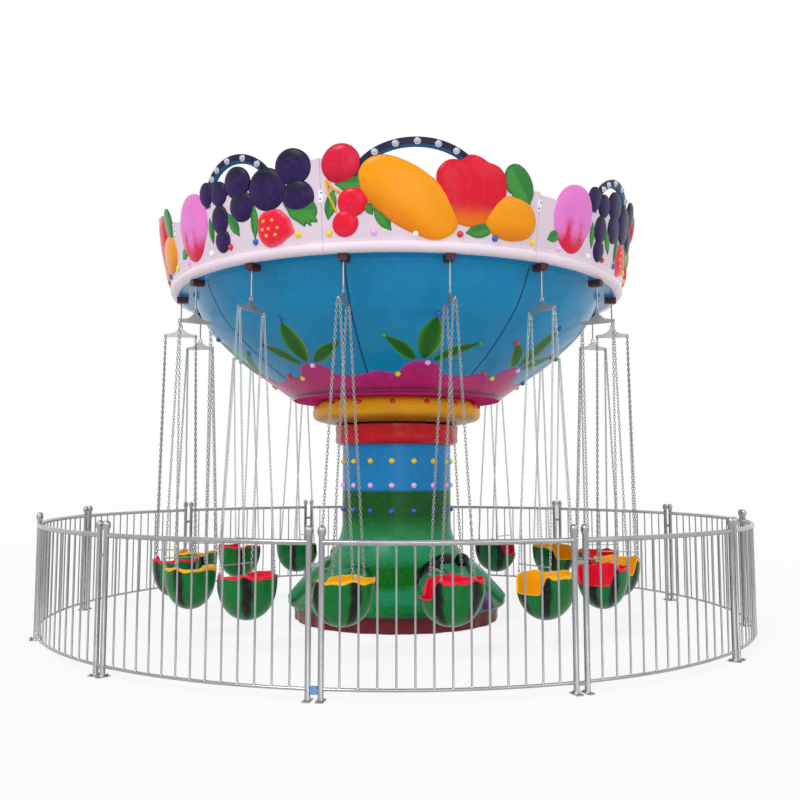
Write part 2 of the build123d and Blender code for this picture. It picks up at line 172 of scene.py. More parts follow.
def tube(path, radius, sides=12, close=False):
    """Round bar along a path, of one radius or one for each point, with closed ends."""
    path = np.asarray(path, float)
    n = len(path)
    radius = np.broadcast_to(radius, n)
    along = unit(np.roll(path, -1, 0) - np.roll(path, 1, 0) if close else np.gradient(path, axis=0))
    side = np.cross(along[0], (0, 0, 1) if abs(along[0][2]) < 0.9 else (1, 0, 0))
    sides_at = []
    for way in along:
        side = side - way * (side @ way)
        side = side / np.linalg.norm(side)
        sides_at.append(side)
    sides_at = np.array(sides_at)
    other = np.cross(along, sides_at)
    a = np.linspace(0, 2 * math.pi, sides, endpoint=False)
    points = path[:, None] + radius[:, None, None] * (
        np.cos(a)[None, :, None] * sides_at[:, None] + np.sin(a)[None, :, None] * other[:, None])
    faces = quads(n, sides, ring=close, loop=True, over=True)
    return points.reshape(-1, 3), faces if close else faces + ends(n, sides)


def slab(half_x, half_y, low, high, corner=0.004, edge=0.002):
    """Flat bar or plate with rounded corners and small chamfers, centred on the z axis."""
    points = []
    for z, inset in ((low, edge), (low + edge, 0), (high - edge, 0), (high, edge)):
        r = max(corner - inset, 0.0004)
        for cx, cy, start in ((1, 1, 0), (-1, 1, 90), (-1, -1, 180), (1, -1, 270)):
            x, y = cx * (half_x - inset - r), cy * (half_y - inset - r)
            for a in np.radians((start, start + 45, start + 90)):
                points.append((x + r * math.cos(a), y + r * math.sin(a), z))
    return np.array(points), quads(4, 12, loop=True, over=True) + ends(4, 12)


def joined(parts):
    """Several parts as one."""
    points, faces, count = [], [], 0
    for some, loops in parts:
        points.append(np.asarray(some, float))
        faces += [tuple(i + count for i in loop) for loop in loops]
        count += len(some)
    return np.concatenate(points), faces


def made(name, parts, material, crease=38, paint=None):
    """A named mesh in a material, smooth but for edges sharper than the crease angle. paint
    gives each point its airbrushed colour, with painted shade and painted light on some pieces."""
    points, faces = joined(parts)
    mesh = bpy.data.meshes.new(name)
    mesh.from_pydata(points.tolist(), [], faces)
    if paint is not None:
        layer = mesh.attributes.new("paint", "FLOAT_COLOR", "POINT")
        layer.data.foreach_set("color", np.asarray(paint, np.float32).ravel())
    shape = bmesh.new()
    shape.from_mesh(mesh)
    bmesh.ops.remove_doubles(shape, verts=shape.verts, dist=2e-5)
    shape.to_mesh(mesh)
    shape.free()
    mesh.shade_smooth()
    mesh.set_sharp_from_angle(angle=math.radians(crease))
    mesh.materials.append(material)
    piece = bpy.data.objects.new(name, mesh)
    stage.collection.objects.link(piece)
    return piece


def new_material(name):
    """An empty named material: its tree, its surface shader and its object coordinates."""
    material = bpy.data.materials.new(name)
    material.use_nodes = True
    tree = material.node_tree
    return material, tree, tree.nodes["Principled BSDF"], node(tree, "TexCoord").outputs["Object"]


def polished_stainless(name, colour="#B8B6B8", rough=0.2):
    """Type 304 tube, polished round its girth: soft streaks, handling marks, dull patches."""
    material, tree, surface, place = new_material(name)
    patches = node(tree, "TexNoise", {"Vector": place, "Scale": 5.0, "Detail": 5.0})
    marks = node(tree, "TexNoise", {"Vector": place, "Scale": 70.0, "Detail": 3.0})
    tint = node(tree, "Mix", {0: patches.outputs["Fac"], 6: linear(colour), 7: linear("#8C8D92")}, data_type="RGBA")
    dull = node(tree, "MapRange", {
        "Value": marks.outputs["Fac"], "From Min": 0.3, "From Max": 0.7,
        "To Min": rough * 0.7, "To Max": rough * 1.6})
    rub = node(tree, "Bump", {"Height": marks.outputs["Fac"], "Strength": 0.05, "Distance": 0.002})
    feed(surface, {
        "Base Color": tint.outputs[2], "Roughness": dull.outputs[0], "Normal": rub.outputs[0], "Metallic": 1})
    return material


FENCE_R, PANELS, FENCE_TURN = 3.560, 12, -8.9
RAIL_Z, RAIL_R, FOOT_RAIL_Z, FOOT_RAIL_R = 1.050, 0.019, 0.080, 0.012
BARS, BAR_R, POST_R, POST_TOP, POST_GAP = 13, 0.0075, 0.0205, 1.084, 0.090
WELD, FOOT_T, CLAMPS_AT = 0.004, 0.008, (0.072, 0.900)
BALL_R, BALL_H, BALL_Z = 0.0305, 0.031, 1.132
tube_steel = polished_stainless("polished_stainless_tube")
bolt_steel = polished_stainless("zinc_plated_bolts", "#A0A09A", 0.38)

inset = math.degrees(math.asin(POST_GAP / 2 / FENCE_R))
left, right = FENCE_TURN + inset, FENCE_TURN + 360 / PANELS - inset
rail_turns = np.radians(np.linspace(left, right, 33))
panel = []
for z, radius, sides in ((RAIL_Z, RAIL_R, 20), (FOOT_RAIL_Z, FOOT_RAIL_R, 14)):
    panel.append(tube([(FENCE_R * math.sin(a), -FENCE_R * math.cos(a), z) for a in rail_turns], radius, sides))
low, high = FOOT_RAIL_Z + FOOT_RAIL_R - 0.002, RAIL_Z - RAIL_R + 0.002
bar = tube(
    [(0, -FENCE_R, z) for z in (low, low + 0.003, low + 0.008, high - 0.008, high - 0.003, high)],
    [BAR_R + WELD, BAR_R + WELD / 2, BAR_R, BAR_R, BAR_R + WELD / 2, BAR_R + WELD], 12)
panel += around([bar], [left + (right - left) * (i + 1) / (BARS + 1) for i in range(BARS)])
ball = [(BALL_R * math.cos(a), BALL_Z + BALL_H * math.sin(a)) for a in np.radians(np.linspace(-12, 88, 12))]
post = spun([
    (0.0, FOOT_T), (POST_R + WELD, FOOT_T), (POST_R, FOOT_T + 0.006), (POST_R, POST_TOP),
    (POST_R + 0.001, POST_TOP + 0.003), (0.0235, POST_TOP + 0.012), (0.0275, POST_TOP + 0.022),
    (0.031, POST_TOP + 0.032), (0.031, POST_TOP + 0.036), (0.0285, POST_TOP + 0.037), (0.0285, 1.1245),
    *ball, (0.0, BALL_Z + BALL_H)], range(0, 360, 18), close=True)
foot = slab(0.029, 0.055, 0, FOOT_T, 0.008, 0.0015)
hex_bolt = spun(
    [(0.0, 0.0), (0.013, 0.0), (0.013, 0.002), (0.0095, 0.0025), (0.0095, 0.008), (0.008, 0.0095), (0.0, 0.0095)],
    range(0, 360, 60), close=True)
bolts = []
for turn in (left, right):
    panel += [placed(part, turn, (0, -FENCE_R, 0)) for part in (post, foot)]
    bolts += [placed(hex_bolt, turn, (0, y - FENCE_R, FOOT_T)) for y in (-0.040, 0.040)]
clamp = slab(POST_GAP / 2 - POST_R + 0.004, 0.010, -0.014, 0.014, 0.003, 0.0015)
shank = tube([(0, -FENCE_R - 0.0105, 0), (0, -FENCE_R - 0.004, 0)], 0.008, 6)
for z in CLAMPS_AT:
    panel.append(placed(clamp, right, (POST_GAP / 2, -FENCE_R, z)))
    bolts.append(placed(shank, right, (POST_GAP / 2, 0, z)))
for k in range(PANELS):
    turn = 360 / PANELS * k
    fence = made(f"fence_tubes_{k + 1:02d}", around(panel, [turn]), tube_steel)
    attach(fence, "fixed_frame")
    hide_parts(f"fence_panel_{k + 1:02d}")
    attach(made(f"fence_bolts_{k + 1:02d}", around(bolts, [turn]), bolt_steel), "fixed_frame")

# Film. The lowest clamp of the front pair still wears its blue protective film of polyethylene,
# crumpled round it.
film, tree, surface, place = new_material("blue_protective_film")
creases = node(tree, "TexNoise", {"Vector": place, "Scale": 45.0, "Detail": 5.0})
tint = node(tree, "Mix", {0: creases.outputs["Fac"], 6: linear("#2F74BE"), 7: linear("#7FB0DC")}, data_type="RGBA")
crumple = node(tree, "Bump", {"Height": creases.outputs["Fac"], "Strength": 0.5, "Distance": 0.004})
feed(surface, {"Base Color": tint.outputs[2], "Normal": crumple.outputs[0], "Roughness": 0.35})
wrap = placed(slab(0.024, 0.016, -0.027, 0.027, 0.008, 0.004), FENCE_TURN, (0, -FENCE_R, CLAMPS_AT[0]))
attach(made("fence_film_wrap", [wrap], film), "fixed_frame")


# Plinth and skirt. A maroon plinth stands on the ground, and over it comes the flared
# glass-fibre skirt: raised petals in two greens and plum, airbrushed over a glossy gelcoat,
# with a darker wave across the front and back.
def gelcoat(name, colour=None, rough=0.3, cloud=0.16):
    """Gelcoat from a polished mould: glossy, faintly cloudy, with the mould's orange peel and
    a film of dust. With no colour it shows the paint that the piece's points carry."""
    material, tree, surface, place = new_material(name)
    clouds = node(tree, "TexNoise", {"Vector": place, "Scale": 2.2, "Detail": 6.0, "Roughness": 0.6})
    specks = node(tree, "TexNoise", {"Vector": place, "Scale": 24.0, "Detail": 6.0})
    peel = node(tree, "TexNoise", {"Vector": place, "Scale": 120.0, "Detail": 2.0})
    shade = node(tree, "MapRange", {
        "Value": clouds.outputs["Fac"], "From Min": 0.35, "From Max": 0.72,
        "To Min": 1 + cloud / 3, "To Max": 1 - cloud})
    if colour:
        base = node(tree, "RGB").outputs[0]
        base.default_value = linear(colour)
    else:
        base = node(tree, "Attribute", attribute_name="paint").outputs["Color"]
    tinted = node(tree, "VectorMath", {0: base, "Scale": shade.outputs[0]}, operation="SCALE")
    dusty = node(tree, "MapRange", {
        "Value": specks.outputs["Fac"], "From Min": 0.5, "From Max": 0.9, "To Min": 0.0, "To Max": 0.045})
    film = node(tree, "Mix", {0: dusty.outputs[0], 6: tinted.outputs[0], 7: linear("#CFC8C0")}, data_type="RGBA")
    dull = node(tree, "MapRange", {
        "Value": specks.outputs["Fac"], "From Min": 0.35, "From Max": 0.7,
        "To Min": rough * 0.85, "To Max": rough * 1.25})
    skin = node(tree, "Bump", {"Height": peel.outputs["Fac"], "Strength": 0.07, "Distance": 0.0015})
    waves = node(tree, "Bump", {
        "Height": clouds.outputs["Fac"], "Strength": 0.1, "Distance": 0.02, "Normal": skin.outputs[0]})
    feed(surface, {
        "Base Color": film.outputs[2], "Roughness": dull.outputs[0], "Normal": waves.outputs[0],
        "Specular IOR Level": 0.2})
    return material


def full_turn(count):
    """Even turns once round the axis."""
    return np.linspace(0, 360, count, endpoint=False)


def smooth(value, low, high):
    """0 below low, 1 above high and a soft step between."""
    t = np.clip((value - low) / (high - low), 0, 1)
    return t * t * (3 - 2 * t)


def sprayed(base, colour, share):
    """Each point's colour, with another over it by a share. base may be one hex colour."""
    if isinstance(base, str):
        base = np.tile(linear(base), (len(share), 1))
    return base + (np.asarray(linear(colour)) - base) * np.asarray(share)[:, None]


def gap_to(turns, middle):
    """Signed turn from a middle, in degrees, the short way round."""
    return (turns - middle + 180) % 360 - 180


PLINTH_R, PLINTH_H = 1.100, 0.190
hem_turns = full_turn(240)
plinth_outline = [
    (0.0, 0.0), (PLINTH_R - 0.02, 0.0), (PLINTH_R - 0.004, 0.008), (PLINTH_R, 0.03), (PLINTH_R, 0.09),
    (PLINTH_R - 0.004, PLINTH_H), (0.0, PLINTH_H)]
points, faces = spun(plinth_outline, hem_turns, close=True)
ripple = np.radians(np.repeat(hem_turns, len(plinth_outline)))
waist = (points[:, 2] < 0.15) & (np.hypot(points[:, 0], points[:, 1]) > 1.0)
pull = 1 - waist * (0.030 + 0.012 * np.sin(ripple * 23) * np.cos(ripple * 5 + 1))
points[:, :2] *= pull[:, None]
plinth = made("plinth", [(points, faces)], gelcoat("maroon_gelcoat", "#6A1A22", 0.34))
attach(plinth, "fixed_frame")
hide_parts("base_plate")

SKIRT_R, COLUMN_R, FLARE_TOP, SKIRT_TOP, PETAL_Z = 1.150, 0.583, 1.010, 1.400, 0.39
shares = np.linspace(1, 0, 76)
flare = np.stack([
    COLUMN_R + (SKIRT_R - COLUMN_R) * shares ** 1.7 * (1.55 - 0.55 * shares),
    FLARE_TOP - (FLARE_TOP - PLINTH_H) * shares ** 0.82], 1)
lip = [
    (PLINTH_R + 0.004, PLINTH_H - 0.02), (SKIRT_R - 0.016, PLINTH_H - 0.024),
    (SKIRT_R - 0.004, PLINTH_H - 0.012)]
stem = [(COLUMN_R, z) for z in np.linspace(FLARE_TOP + 0.03, SKIRT_TOP, 12)]
outline = np.concatenate([lip, flare, stem])
skirt_turns = full_turn(360)
points, faces = spun(outline, skirt_turns, close=True)
turns = np.repeat(skirt_turns, len(outline))
radius, height = np.hypot(points[:, 0], points[:, 1]), points[:, 2]
slope = unit(np.gradient(outline, axis=0))
normal = np.tile(np.stack([slope[:, 1], -slope[:, 0]], 1), (len(skirt_turns), 1))
along = np.concatenate([[0], np.cumsum(np.linalg.norm(np.diff(outline, axis=0), axis=1))])
petal_at = np.interp(PETAL_Z, outline[3:, 1], along[3:])
along = np.tile(along, len(skirt_turns))

facing = np.minimum(np.abs(gap_to(turns, -4)), np.abs(gap_to(turns, 176)))
wave_low = 0.405 + 0.00012 * facing ** 2
greens = sprayed("#107636", "#055014", smooth(height, 0.95, 1.12))
for colour, share in (
        ("#1C8A58", smooth(height, 0.60, 0.70) * (1 - smooth(height, 0.80, 0.98)) * 0.9),
        ("#056414", smooth(height, wave_low, wave_low + 0.025) * (1 - smooth(height, 0.585, 0.62))),
        ("#1C8656", (1 - smooth(height, wave_low - 0.03, wave_low)) * smooth(height, 0.25, 0.3) * 0.9),
        ("#0A5A26", (1 - smooth(height, 0.19, 0.24)) * (0.55 + 0.45 * np.sin(np.radians(turns * 9)))),
        ("#0A7EBC", smooth(height, 1.352, 1.362))):
    greens = sprayed(greens, colour, share)

# Each petal: turn, height above the row, half width, half length, depth, colour and its edge's.
PETALS = (
    (-76, 0, 0.20, 0.36, 0.075, "#0E7A46", "#064A22"), (-31, 0, 0.20, 0.30, 0.055, "#107A46", "#0A3A20"),
    (26, 0, 0.20, 0.30, 0.055, "#107A46", "#0A2416"), (78, 0, 0.20, 0.36, 0.075, "#1C8A5C", "#064A22"),
    (53, -0.10, 0.19, 0.25, 0.040, "#561A62", "#3A7A5C"))
lift = np.zeros(len(points))
for turn, up, half_w, half_h, depth, colour, edge in PETALS:
    for half in (0, 180):
        u = np.radians(gap_to(turns, turn + half)) * radius / half_w
        v = (along - petal_at - up) / half_h
        reach = np.sqrt(u ** 2 + v ** 2) + 0.10 * np.cos(3 * np.arctan2(u, v))
        lift = np.maximum(lift, depth * np.sqrt(np.clip(1 - reach ** 2, 0, 1)) * smooth(height, 0.185, 0.23))
        greens = sprayed(greens, edge, smooth(-reach, -1.12, -1.04) * 0.8)
        greens = sprayed(greens, colour, smooth(-reach, -0.99, -0.88))
        # Painted highlight: a paler teal over the upper middle of each raised petal, where light falls on it.
        greens = sprayed(greens, "#3E9C74", smooth(-reach, -0.6, -0.2) * 0.3 * smooth(v, 0, 0.5))
points[:, :2] *= (1 + lift * normal[:, 0] / radius)[:, None]
points[:, 2] += lift * normal[:, 1]
skirt_paint = gelcoat("airbrushed_gelcoat_skirt", None, 0.28, 0.10)
skirt = made("skirt_moulding", [(points, faces)], skirt_paint, 50, greens)
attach(skirt, "fixed_frame")
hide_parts("base_skirt")


# Stalks. A black moulded stalk with a round head curls over the petal to the right of the front
# wave, and again on the far side.
def curve(points, count):
    """Smooth line through points: a Catmull-Rom spline, as a count of even parameter steps."""
    points = np.asarray(points, float)
    held = np.concatenate([[2 * points[0] - points[1]], points, [2 * points[-1] - points[-2]]])
    steps = np.linspace(0, len(points) - 1, count)
    cell = np.minimum(steps.astype(int), len(points) - 2)
    t = (steps - cell)[:, None]
    a, b, c, d = (held[cell + i] for i in range(4))
    return 0.5 * (2 * b + (c - a) * t + (2 * a - 5 * b + 4 * c - d) * t ** 2 + (3 * b - a - 3 * c + d) * t ** 3)


STALK_RUN = ((13.5, 0.44), (16.9, 0.512), (23.6, 0.586), (37, 0.650), (50, 0.662))
stalk_radius = np.interp(np.linspace(0, 1, 26), [0, 0.3, 1], [0.022, 0.050, 0.056])
head = spun(
    [(0.074 * math.cos(a), 0.068 * math.sin(a)) for a in np.radians(np.linspace(-90, 90, 12))],
    range(0, 360, 18), close=True)
stalks = []
for half in (0, 180):
    run = []
    for turn, z in STALK_RUN:
        reach = float(np.interp(-z, -flare[::-1, 1], flare[::-1, 0])) - 0.004
        run.append(turned([(0, -reach, z)], turn + half)[0])
    stalks.append(tube(curve(run, 26), stalk_radius, 14))
    stalks.append(placed(head, 0, turned([(0, -0.80, 0.645)], 57 + half)[0]))
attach(made("skirt_stalks", stalks, gelcoat("black_gelcoat", "#0E0C0B", 0.3)), "fixed_frame")


# Column. A plain glass-fibre tube over the steel core, blue above the green, with three rows
# of sixteen cap lamps. Each lamp is a moulded polycarbonate lens with a thin flange.
def lens(name, colour):
    """Tinted polycarbonate lens cap: hard gloss, a little see-through depth, faint dust."""
    material, tree, surface, place = new_material(name)
    pale = tuple(min(1, c * 1.5 + 0.02) for c in linear(colour)[:3]) + (1,)
    grain = node(tree, "TexNoise", {"Vector": place, "Scale": 60.0, "Detail": 3.0})
    tint = node(tree, "Mix", {0: grain.outputs["Fac"], 6: linear(colour), 7: pale}, data_type="RGBA")
    dull = node(tree, "MapRange", {"Value": grain.outputs["Fac"], "To Min": 0.05, "To Max": 0.28})
    feed(surface, {"Base Color": tint.outputs[2], "Roughness": dull.outputs[0], "IOR": 1.58})
    return material


lenses = {
    "yellow": lens("polycarbonate_yellow", "#E6BC00"), "pink": lens("polycarbonate_pink", "#F2A0D4"),
    "blue": lens("polycarbonate_blue", "#0E46A4"), "red": lens("polycarbonate_red", "#B80E26"),
    "white": lens("polycarbonate_clear", "#F2EEF0"), "green": lens("polycarbonate_green", "#157A3C"),
    "grey": lens("polycarbonate_smoked", "#A8A8B8")}
LAMP_R = 0.025
LENS_OUTLINE = ((1, 0.15), (0.98, 0.3), (0.86, 0.62), (0.6, 0.88), (0.3, 0.98), (0, 1))
lens_cap = spun([(r * LAMP_R, h * LAMP_R) for r, h in LENS_OUTLINE], range(0, 360, 24), close=True)
lens_flange = spun(
    [(1.16 * LAMP_R, -0.004), (1.16 * LAMP_R, 0.12 * LAMP_R), (1.05 * LAMP_R, 0.22 * LAMP_R),
     (0.9 * LAMP_R, 0.2 * LAMP_R)], range(0, 360, 24), close=True)


def lamps(name, colour, places, body, ring=None):
    """Like-coloured lamps as one piece on a body. places gives each one's point and the way it
    faces. Their flanges are part of it, or a piece of their own in a ring material."""
    caps, flanges = [], []
    for at, facing in places:
        facing = unit(np.asarray(facing, float))
        side = unit(np.cross(facing, (0, 0, 1) if abs(facing[2]) < 0.9 else (1, 0, 0)))
        basis = np.stack([side, -np.cross(side, facing), facing])
        for part, found in ((lens_cap, caps), (lens_flange, flanges)):
            found.append((part[0] @ basis + np.asarray(at), part[1]))
    parts = caps if ring else [part for pair in zip(caps, flanges) for part in pair]
    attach(made(name, parts, lenses[colour]), body)
    if ring:
        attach(made(f"{name}_rings", flanges, ring), body)


def ways_out(first):
    """The ways that the sixteen lamps of a row face, from the first one's turn."""
    return [turned([(0, -1, 0)], first + turn)[0] for turn in full_turn(16)]


COLUMN_TOP = 1.830
shell = spun([(COLUMN_R, z) for z in np.linspace(SKIRT_TOP, COLUMN_TOP, 9)], full_turn(120), True)
column = made("column_shell", [shell], gelcoat("blue_gelcoat_column", "#0A7EBC", 0.26, 0.08))
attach(column, "fixed_frame")
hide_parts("column")
for colour, z in (("yellow", 1.654), ("pink", 1.404), ("blue", 1.147)):
    places = [(out * COLUMN_R + (0, 0, z), out) for out in ways_out(-4.9)]
    lamps(f"column_lamps_{colour}", colour, places, "fixed_frame")

# Drum. A soft-edged red moulding that hides the turning bearing. Its side sags a little
# between the ribs, as thin laminate does.
DRUM_LOW, DRUM_TOP, DRUM_R = 1.830, 2.036, 0.665
outline = np.concatenate([
    curve([(0.56, DRUM_LOW), (DRUM_R - 0.04, DRUM_LOW + 0.004), (DRUM_R - 0.01, DRUM_LOW + 0.026),
           (DRUM_R - 0.002, DRUM_LOW + 0.06), (DRUM_R - 0.006, DRUM_LOW + 0.1), (DRUM_R, DRUM_TOP - 0.02)], 26),
    [(DRUM_R - 0.003, DRUM_TOP - 0.004), (DRUM_R - 0.01, DRUM_TOP), (0.25, DRUM_TOP)]])
points, faces = spun(outline, full_turn(180), close=True)
turns = np.repeat(np.radians(full_turn(180)), len(outline))
sag = 0.0035 * (np.sin(turns * 7 + 9 * points[:, 2]) + np.sin(turns * 17 + 30 * points[:, 2]) * 0.5)
points[:, :2] *= (1 - np.abs(sag) * (points[:, 2] < DRUM_TOP - 0.01))[:, None]
drum = made("drum_shell", [(points, faces)], gelcoat("red_gelcoat_drum", "#C80A16", 0.24, 0.12))
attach(drum, "fixed_frame")
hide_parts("drum")


# Rotor frame. Mast, hub, floor plate, eight arms and the angle ring are welded steel in grey
# primer, open to view from above.
def primed_steel(name, colour, rust="#6A3A22", amount=0.35):
    """Brushed-on primer over welded steel: satin, blotchy, with rust bleeding at scratches."""
    material, tree, surface, place = new_material(name)
    blotch = node(tree, "TexNoise", {"Vector": place, "Scale": 9.0, "Detail": 7.0, "Roughness": 0.65})
    fine = node(tree, "TexNoise", {"Vector": place, "Scale": 90.0, "Detail": 4.0})
    patch = node(tree, "MapRange", {
        "Value": blotch.outputs["Fac"], "From Min": 0.56, "From Max": 0.68, "To Min": 0.0, "To Max": amount})
    worn = node(tree, "Math", {0: patch.outputs[0], 1: fine.outputs["Fac"]}, operation="MULTIPLY")
    tint = node(tree, "Mix", {0: worn.outputs[0], 6: linear(colour), 7: linear(rust)}, data_type="RGBA")
    dull = node(tree, "MapRange", {"Value": fine.outputs["Fac"], "To Min": 0.35, "To Max": 0.65})
    brush = node(tree, "Bump", {"Height": fine.outputs["Fac"], "Strength": 0.2, "Distance": 0.001})
    feed(surface, {
        "Base Color": tint.outputs[2], "Roughness": dull.outputs[0], "Normal": brush.outputs[0], "Metallic": 0.1})
    return material


def finish(node_name, material):
    """A CAD node that keeps its own shape takes a material."""
    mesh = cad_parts[node_name].data
    mesh.materials.clear()
    mesh.materials.append(material)


frame_primer = primed_steel("grey_primer_steel", "#6E7276")
for node_name in ("mast", "hub", "arms", "ring_beam"):
    finish(node_name, frame_primer)

# Bowl. Eight sky-blue glass-fibre petals bolted edge to edge, with dark sealant in the joints.
# The foot turns in under the floor, where it is matt magenta: the foot's rounded edge is a darker
# magenta, painted shade, and the flat underside a brighter one, painted light.
SECTORS, SECTOR, BEAM_R, RIM_LOW, PETAL_STEPS, STRIP_STEPS = 8, 45, 2.325, 3.364, 25, 50
HULL_FOOT_R, HULL_FLOOR_Z, HULL_TOP_R, SKIN, HULL_JOINT = 1.135, 2.300, 2.180, 0.012, -12.0
SEAM_W, HUB_EDGE_R = 0.017, 0.325
foot_z = HULL_FLOOR_Z + 3 * SKIN
BOWL = ((0, 0), (0.25, 0.18), (0.48, 0.345), (0.76, 0.6), (0.9, 0.79), (1, 1))
bowl = curve([
    (HULL_FOOT_R + (HULL_TOP_R - HULL_FOOT_R) * out, foot_z + (RIM_LOW - 0.001 - foot_z) * up)
    for out, up in BOWL], 61)


def bowl_r(z):
    return np.interp(z, bowl[:, 1], bowl[:, 0])


def on_bowl(turn, z, lift=0.0):
    """Point on the bowl's outside at a turn and height, lifted off along its normal."""
    way = unit(np.array([bowl_r(z + 0.01) - bowl_r(z - 0.01), 0.02]))
    r, z = bowl_r(z) + lift * way[1], z - lift * way[0]
    a = math.radians(turn)
    return (r * math.sin(a), -r * math.cos(a), z)


# The inside is the laminate's raw back, brushed with grey flow coat over woven roving. The
# roving's 5 mm weave is drawn at 25 mm, so that it holds at a distance.
laminate, tree, surface, place = new_material("glassfibre_laminate_back")
weave = node(tree, "TexVoronoi", {"Vector": place, "Scale": 40.0}, distance="CHEBYCHEV")
streaks = node(tree, "TexNoise", {"Vector": place, "Scale": 7.0, "Detail": 6.0, "Distortion": 1.2})
tint = node(tree, "Mix", {0: streaks.outputs["Fac"], 6: linear("#A9B4B2"), 7: linear("#7E8C8C")}, data_type="RGBA")
knots = node(tree, "Bump", {"Height": weave.outputs["Distance"], "Strength": 0.3, "Distance": 0.003})
feed(surface, {"Base Color": tint.outputs[2], "Normal": knots.outputs[0], "Roughness": 0.62})


def raw_inside(piece, facing=-0.2):
    """Faces that look at the ride's axis, or up inside it, keep the raw back of the laminate."""
    piece.data.materials.append(laminate)
    for face in piece.data.polygons:
        across = face.normal.xy @ face.center.xy.normalized()
        if across < facing or (face.normal.z > 0.9 and face.center.z < RIM_LOW - 0.1):
            face.material_index = len(piece.data.materials) - 1


foot = [
    (HUB_EDGE_R, HULL_FLOOR_Z), (0.8, HULL_FLOOR_Z), (0.9, HULL_FLOOR_Z), (1.05, HULL_FLOOR_Z),
    (HULL_FOOT_R - 0.022, HULL_FLOOR_Z + 0.003), (HULL_FOOT_R - 0.006, HULL_FLOOR_Z + 0.014)]
flange = [
    (HULL_TOP_R + 0.006, RIM_LOW - 0.0035), (HULL_TOP_R + 0.02, RIM_LOW - 0.0025), (BEAM_R, RIM_LOW - 0.0025),
    (BEAM_R, RIM_LOW - 0.0005), (HULL_TOP_R, RIM_LOW - 0.0005)]
inner = np.stack([bowl[:, 0] - SKIN, bowl[:, 1]], 1)
floor_edge = [(HULL_FOOT_R - 0.036, HULL_FLOOR_Z + SKIN), (HUB_EDGE_R, HULL_FLOOR_Z + SKIN)]
petal_outline = np.concatenate([foot, bowl[:-1], flange, inner[-2::-1], floor_edge, foot[:1]])
half_seam = math.degrees(0.002 / HULL_TOP_R)
petals = []
n = len(petal_outline)
for k in range(SECTORS):
    start = HULL_JOINT + SECTOR * k
    points, faces = spun(petal_outline, np.linspace(start + half_seam, start + SECTOR - half_seam, PETAL_STEPS))
    faces += [tuple(range(n - 1)), tuple((PETAL_STEPS - 1) * n + j for j in range(n - 1))[::-1]]
    petals.append((points, faces))
# Painted shade: the foot's rounded edge, where it turns under, is a darker magenta than the collar.
foot_painted_shade = (np.arange(n) < 9) | (np.arange(n) == n - 1)
tones = sprayed("#0A86B6", "#8E1450", np.tile(foot_painted_shade.astype(float), PETAL_STEPS * SECTORS))
hull = made("bowl_petals", petals, gelcoat("sky_blue_gelcoat_bowl", None, 0.22, 0.14), 38, tones)
# Painted light: the flat underside is a brighter magenta than the collar, to offset the shade under the bowl.
underside = gelcoat("matt_magenta_underside", "#D8247E", 0.8)
underside.node_tree.nodes["Principled BSDF"].inputs["Specular IOR Level"].default_value = 0.03
hull.data.materials.append(underside)
for face in hull.data.polygons:
    if face.normal.z < -0.95 and face.center.z < foot_z:
        face.material_index = 1
raw_inside(hull)
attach(hull, "rotor")
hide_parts("hull_panels")

strips = []
for k in range(SECTORS):
    rows = []
    for z in np.linspace(foot_z + 0.01, RIM_LOW - 0.004, STRIP_STEPS):
        half = math.degrees(SEAM_W / 2 / bowl_r(z))
        for u, h in ((-1, -0.001), (-0.7, 0.0022), (0.7, 0.0022), (1, -0.001)):
            rows.append(on_bowl(HULL_JOINT + SECTOR * k + half * u, z, h))
    strips.append((rows, quads(STRIP_STEPS, 4, over=True)))
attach(made("bowl_joint_strips", strips, gelcoat("navy_joint_sealant", "#0C3F78", 0.42)), "rotor")

# Collar and leaves. Both are sprayed on the bowl through stencils over a thin build-up of
# filler, a scalloped magenta collar round its foot and a fan of three leaves in each sector,
# with small cap lamps at their tips.
FAN, COLLAR_TOP, COLLAR_ROWS, COLLAR_STEPS, LEAF_ROWS, LEAF_STEPS = 9.8, 2.466, 13, 720, 23, 13


def collar_top(turn):
    """Height of the collar's scalloped edge: one big round lobe and a low one a sector."""
    local = gap_to(turn, FAN) % SECTOR
    local = local - SECTOR if local > SECTOR / 2 else local
    big = math.sqrt(max(0, 1 - (local / 8.6) ** 2)) * 0.112
    low = 0.028 * math.cos(math.radians((local + 16.3) * 15)) if abs(local + 16.3) < 6 else 0
    ripple = 0.006 * math.sin(math.radians(turn * 24))
    return COLLAR_TOP + max(big, low, 0) + (ripple if big == 0 else 0)


points, shade = [], []
for share in np.arange(COLLAR_ROWS) / (COLLAR_ROWS - 1):
    for turn in full_turn(COLLAR_STEPS):
        z = foot_z + 0.004 + (collar_top(turn) - foot_z - 0.004) * share
        points.append(on_bowl(turn, z, 0.004 if 0 < share < 1 else -0.002))
        shade.append(share)
shade = np.array(shade)
tones = sprayed("#C01C6C", "#B8287C", smooth(shade, 0.4, 1))
# Painted shade: a deeper magenta towards the collar's lower edge, where the bowl turns under.
tones = sprayed(tones, "#A41658", 1 - smooth(shade, 0, 0.3))
collar_paint = gelcoat("magenta_gelcoat_collar", None, 0.26, 0.1)
collar_faces = quads(COLLAR_ROWS, COLLAR_STEPS, loop=True, over=True)
collar = made("bowl_collar", [(points, collar_faces)], collar_paint, 60, tones)
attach(collar, "rotor")

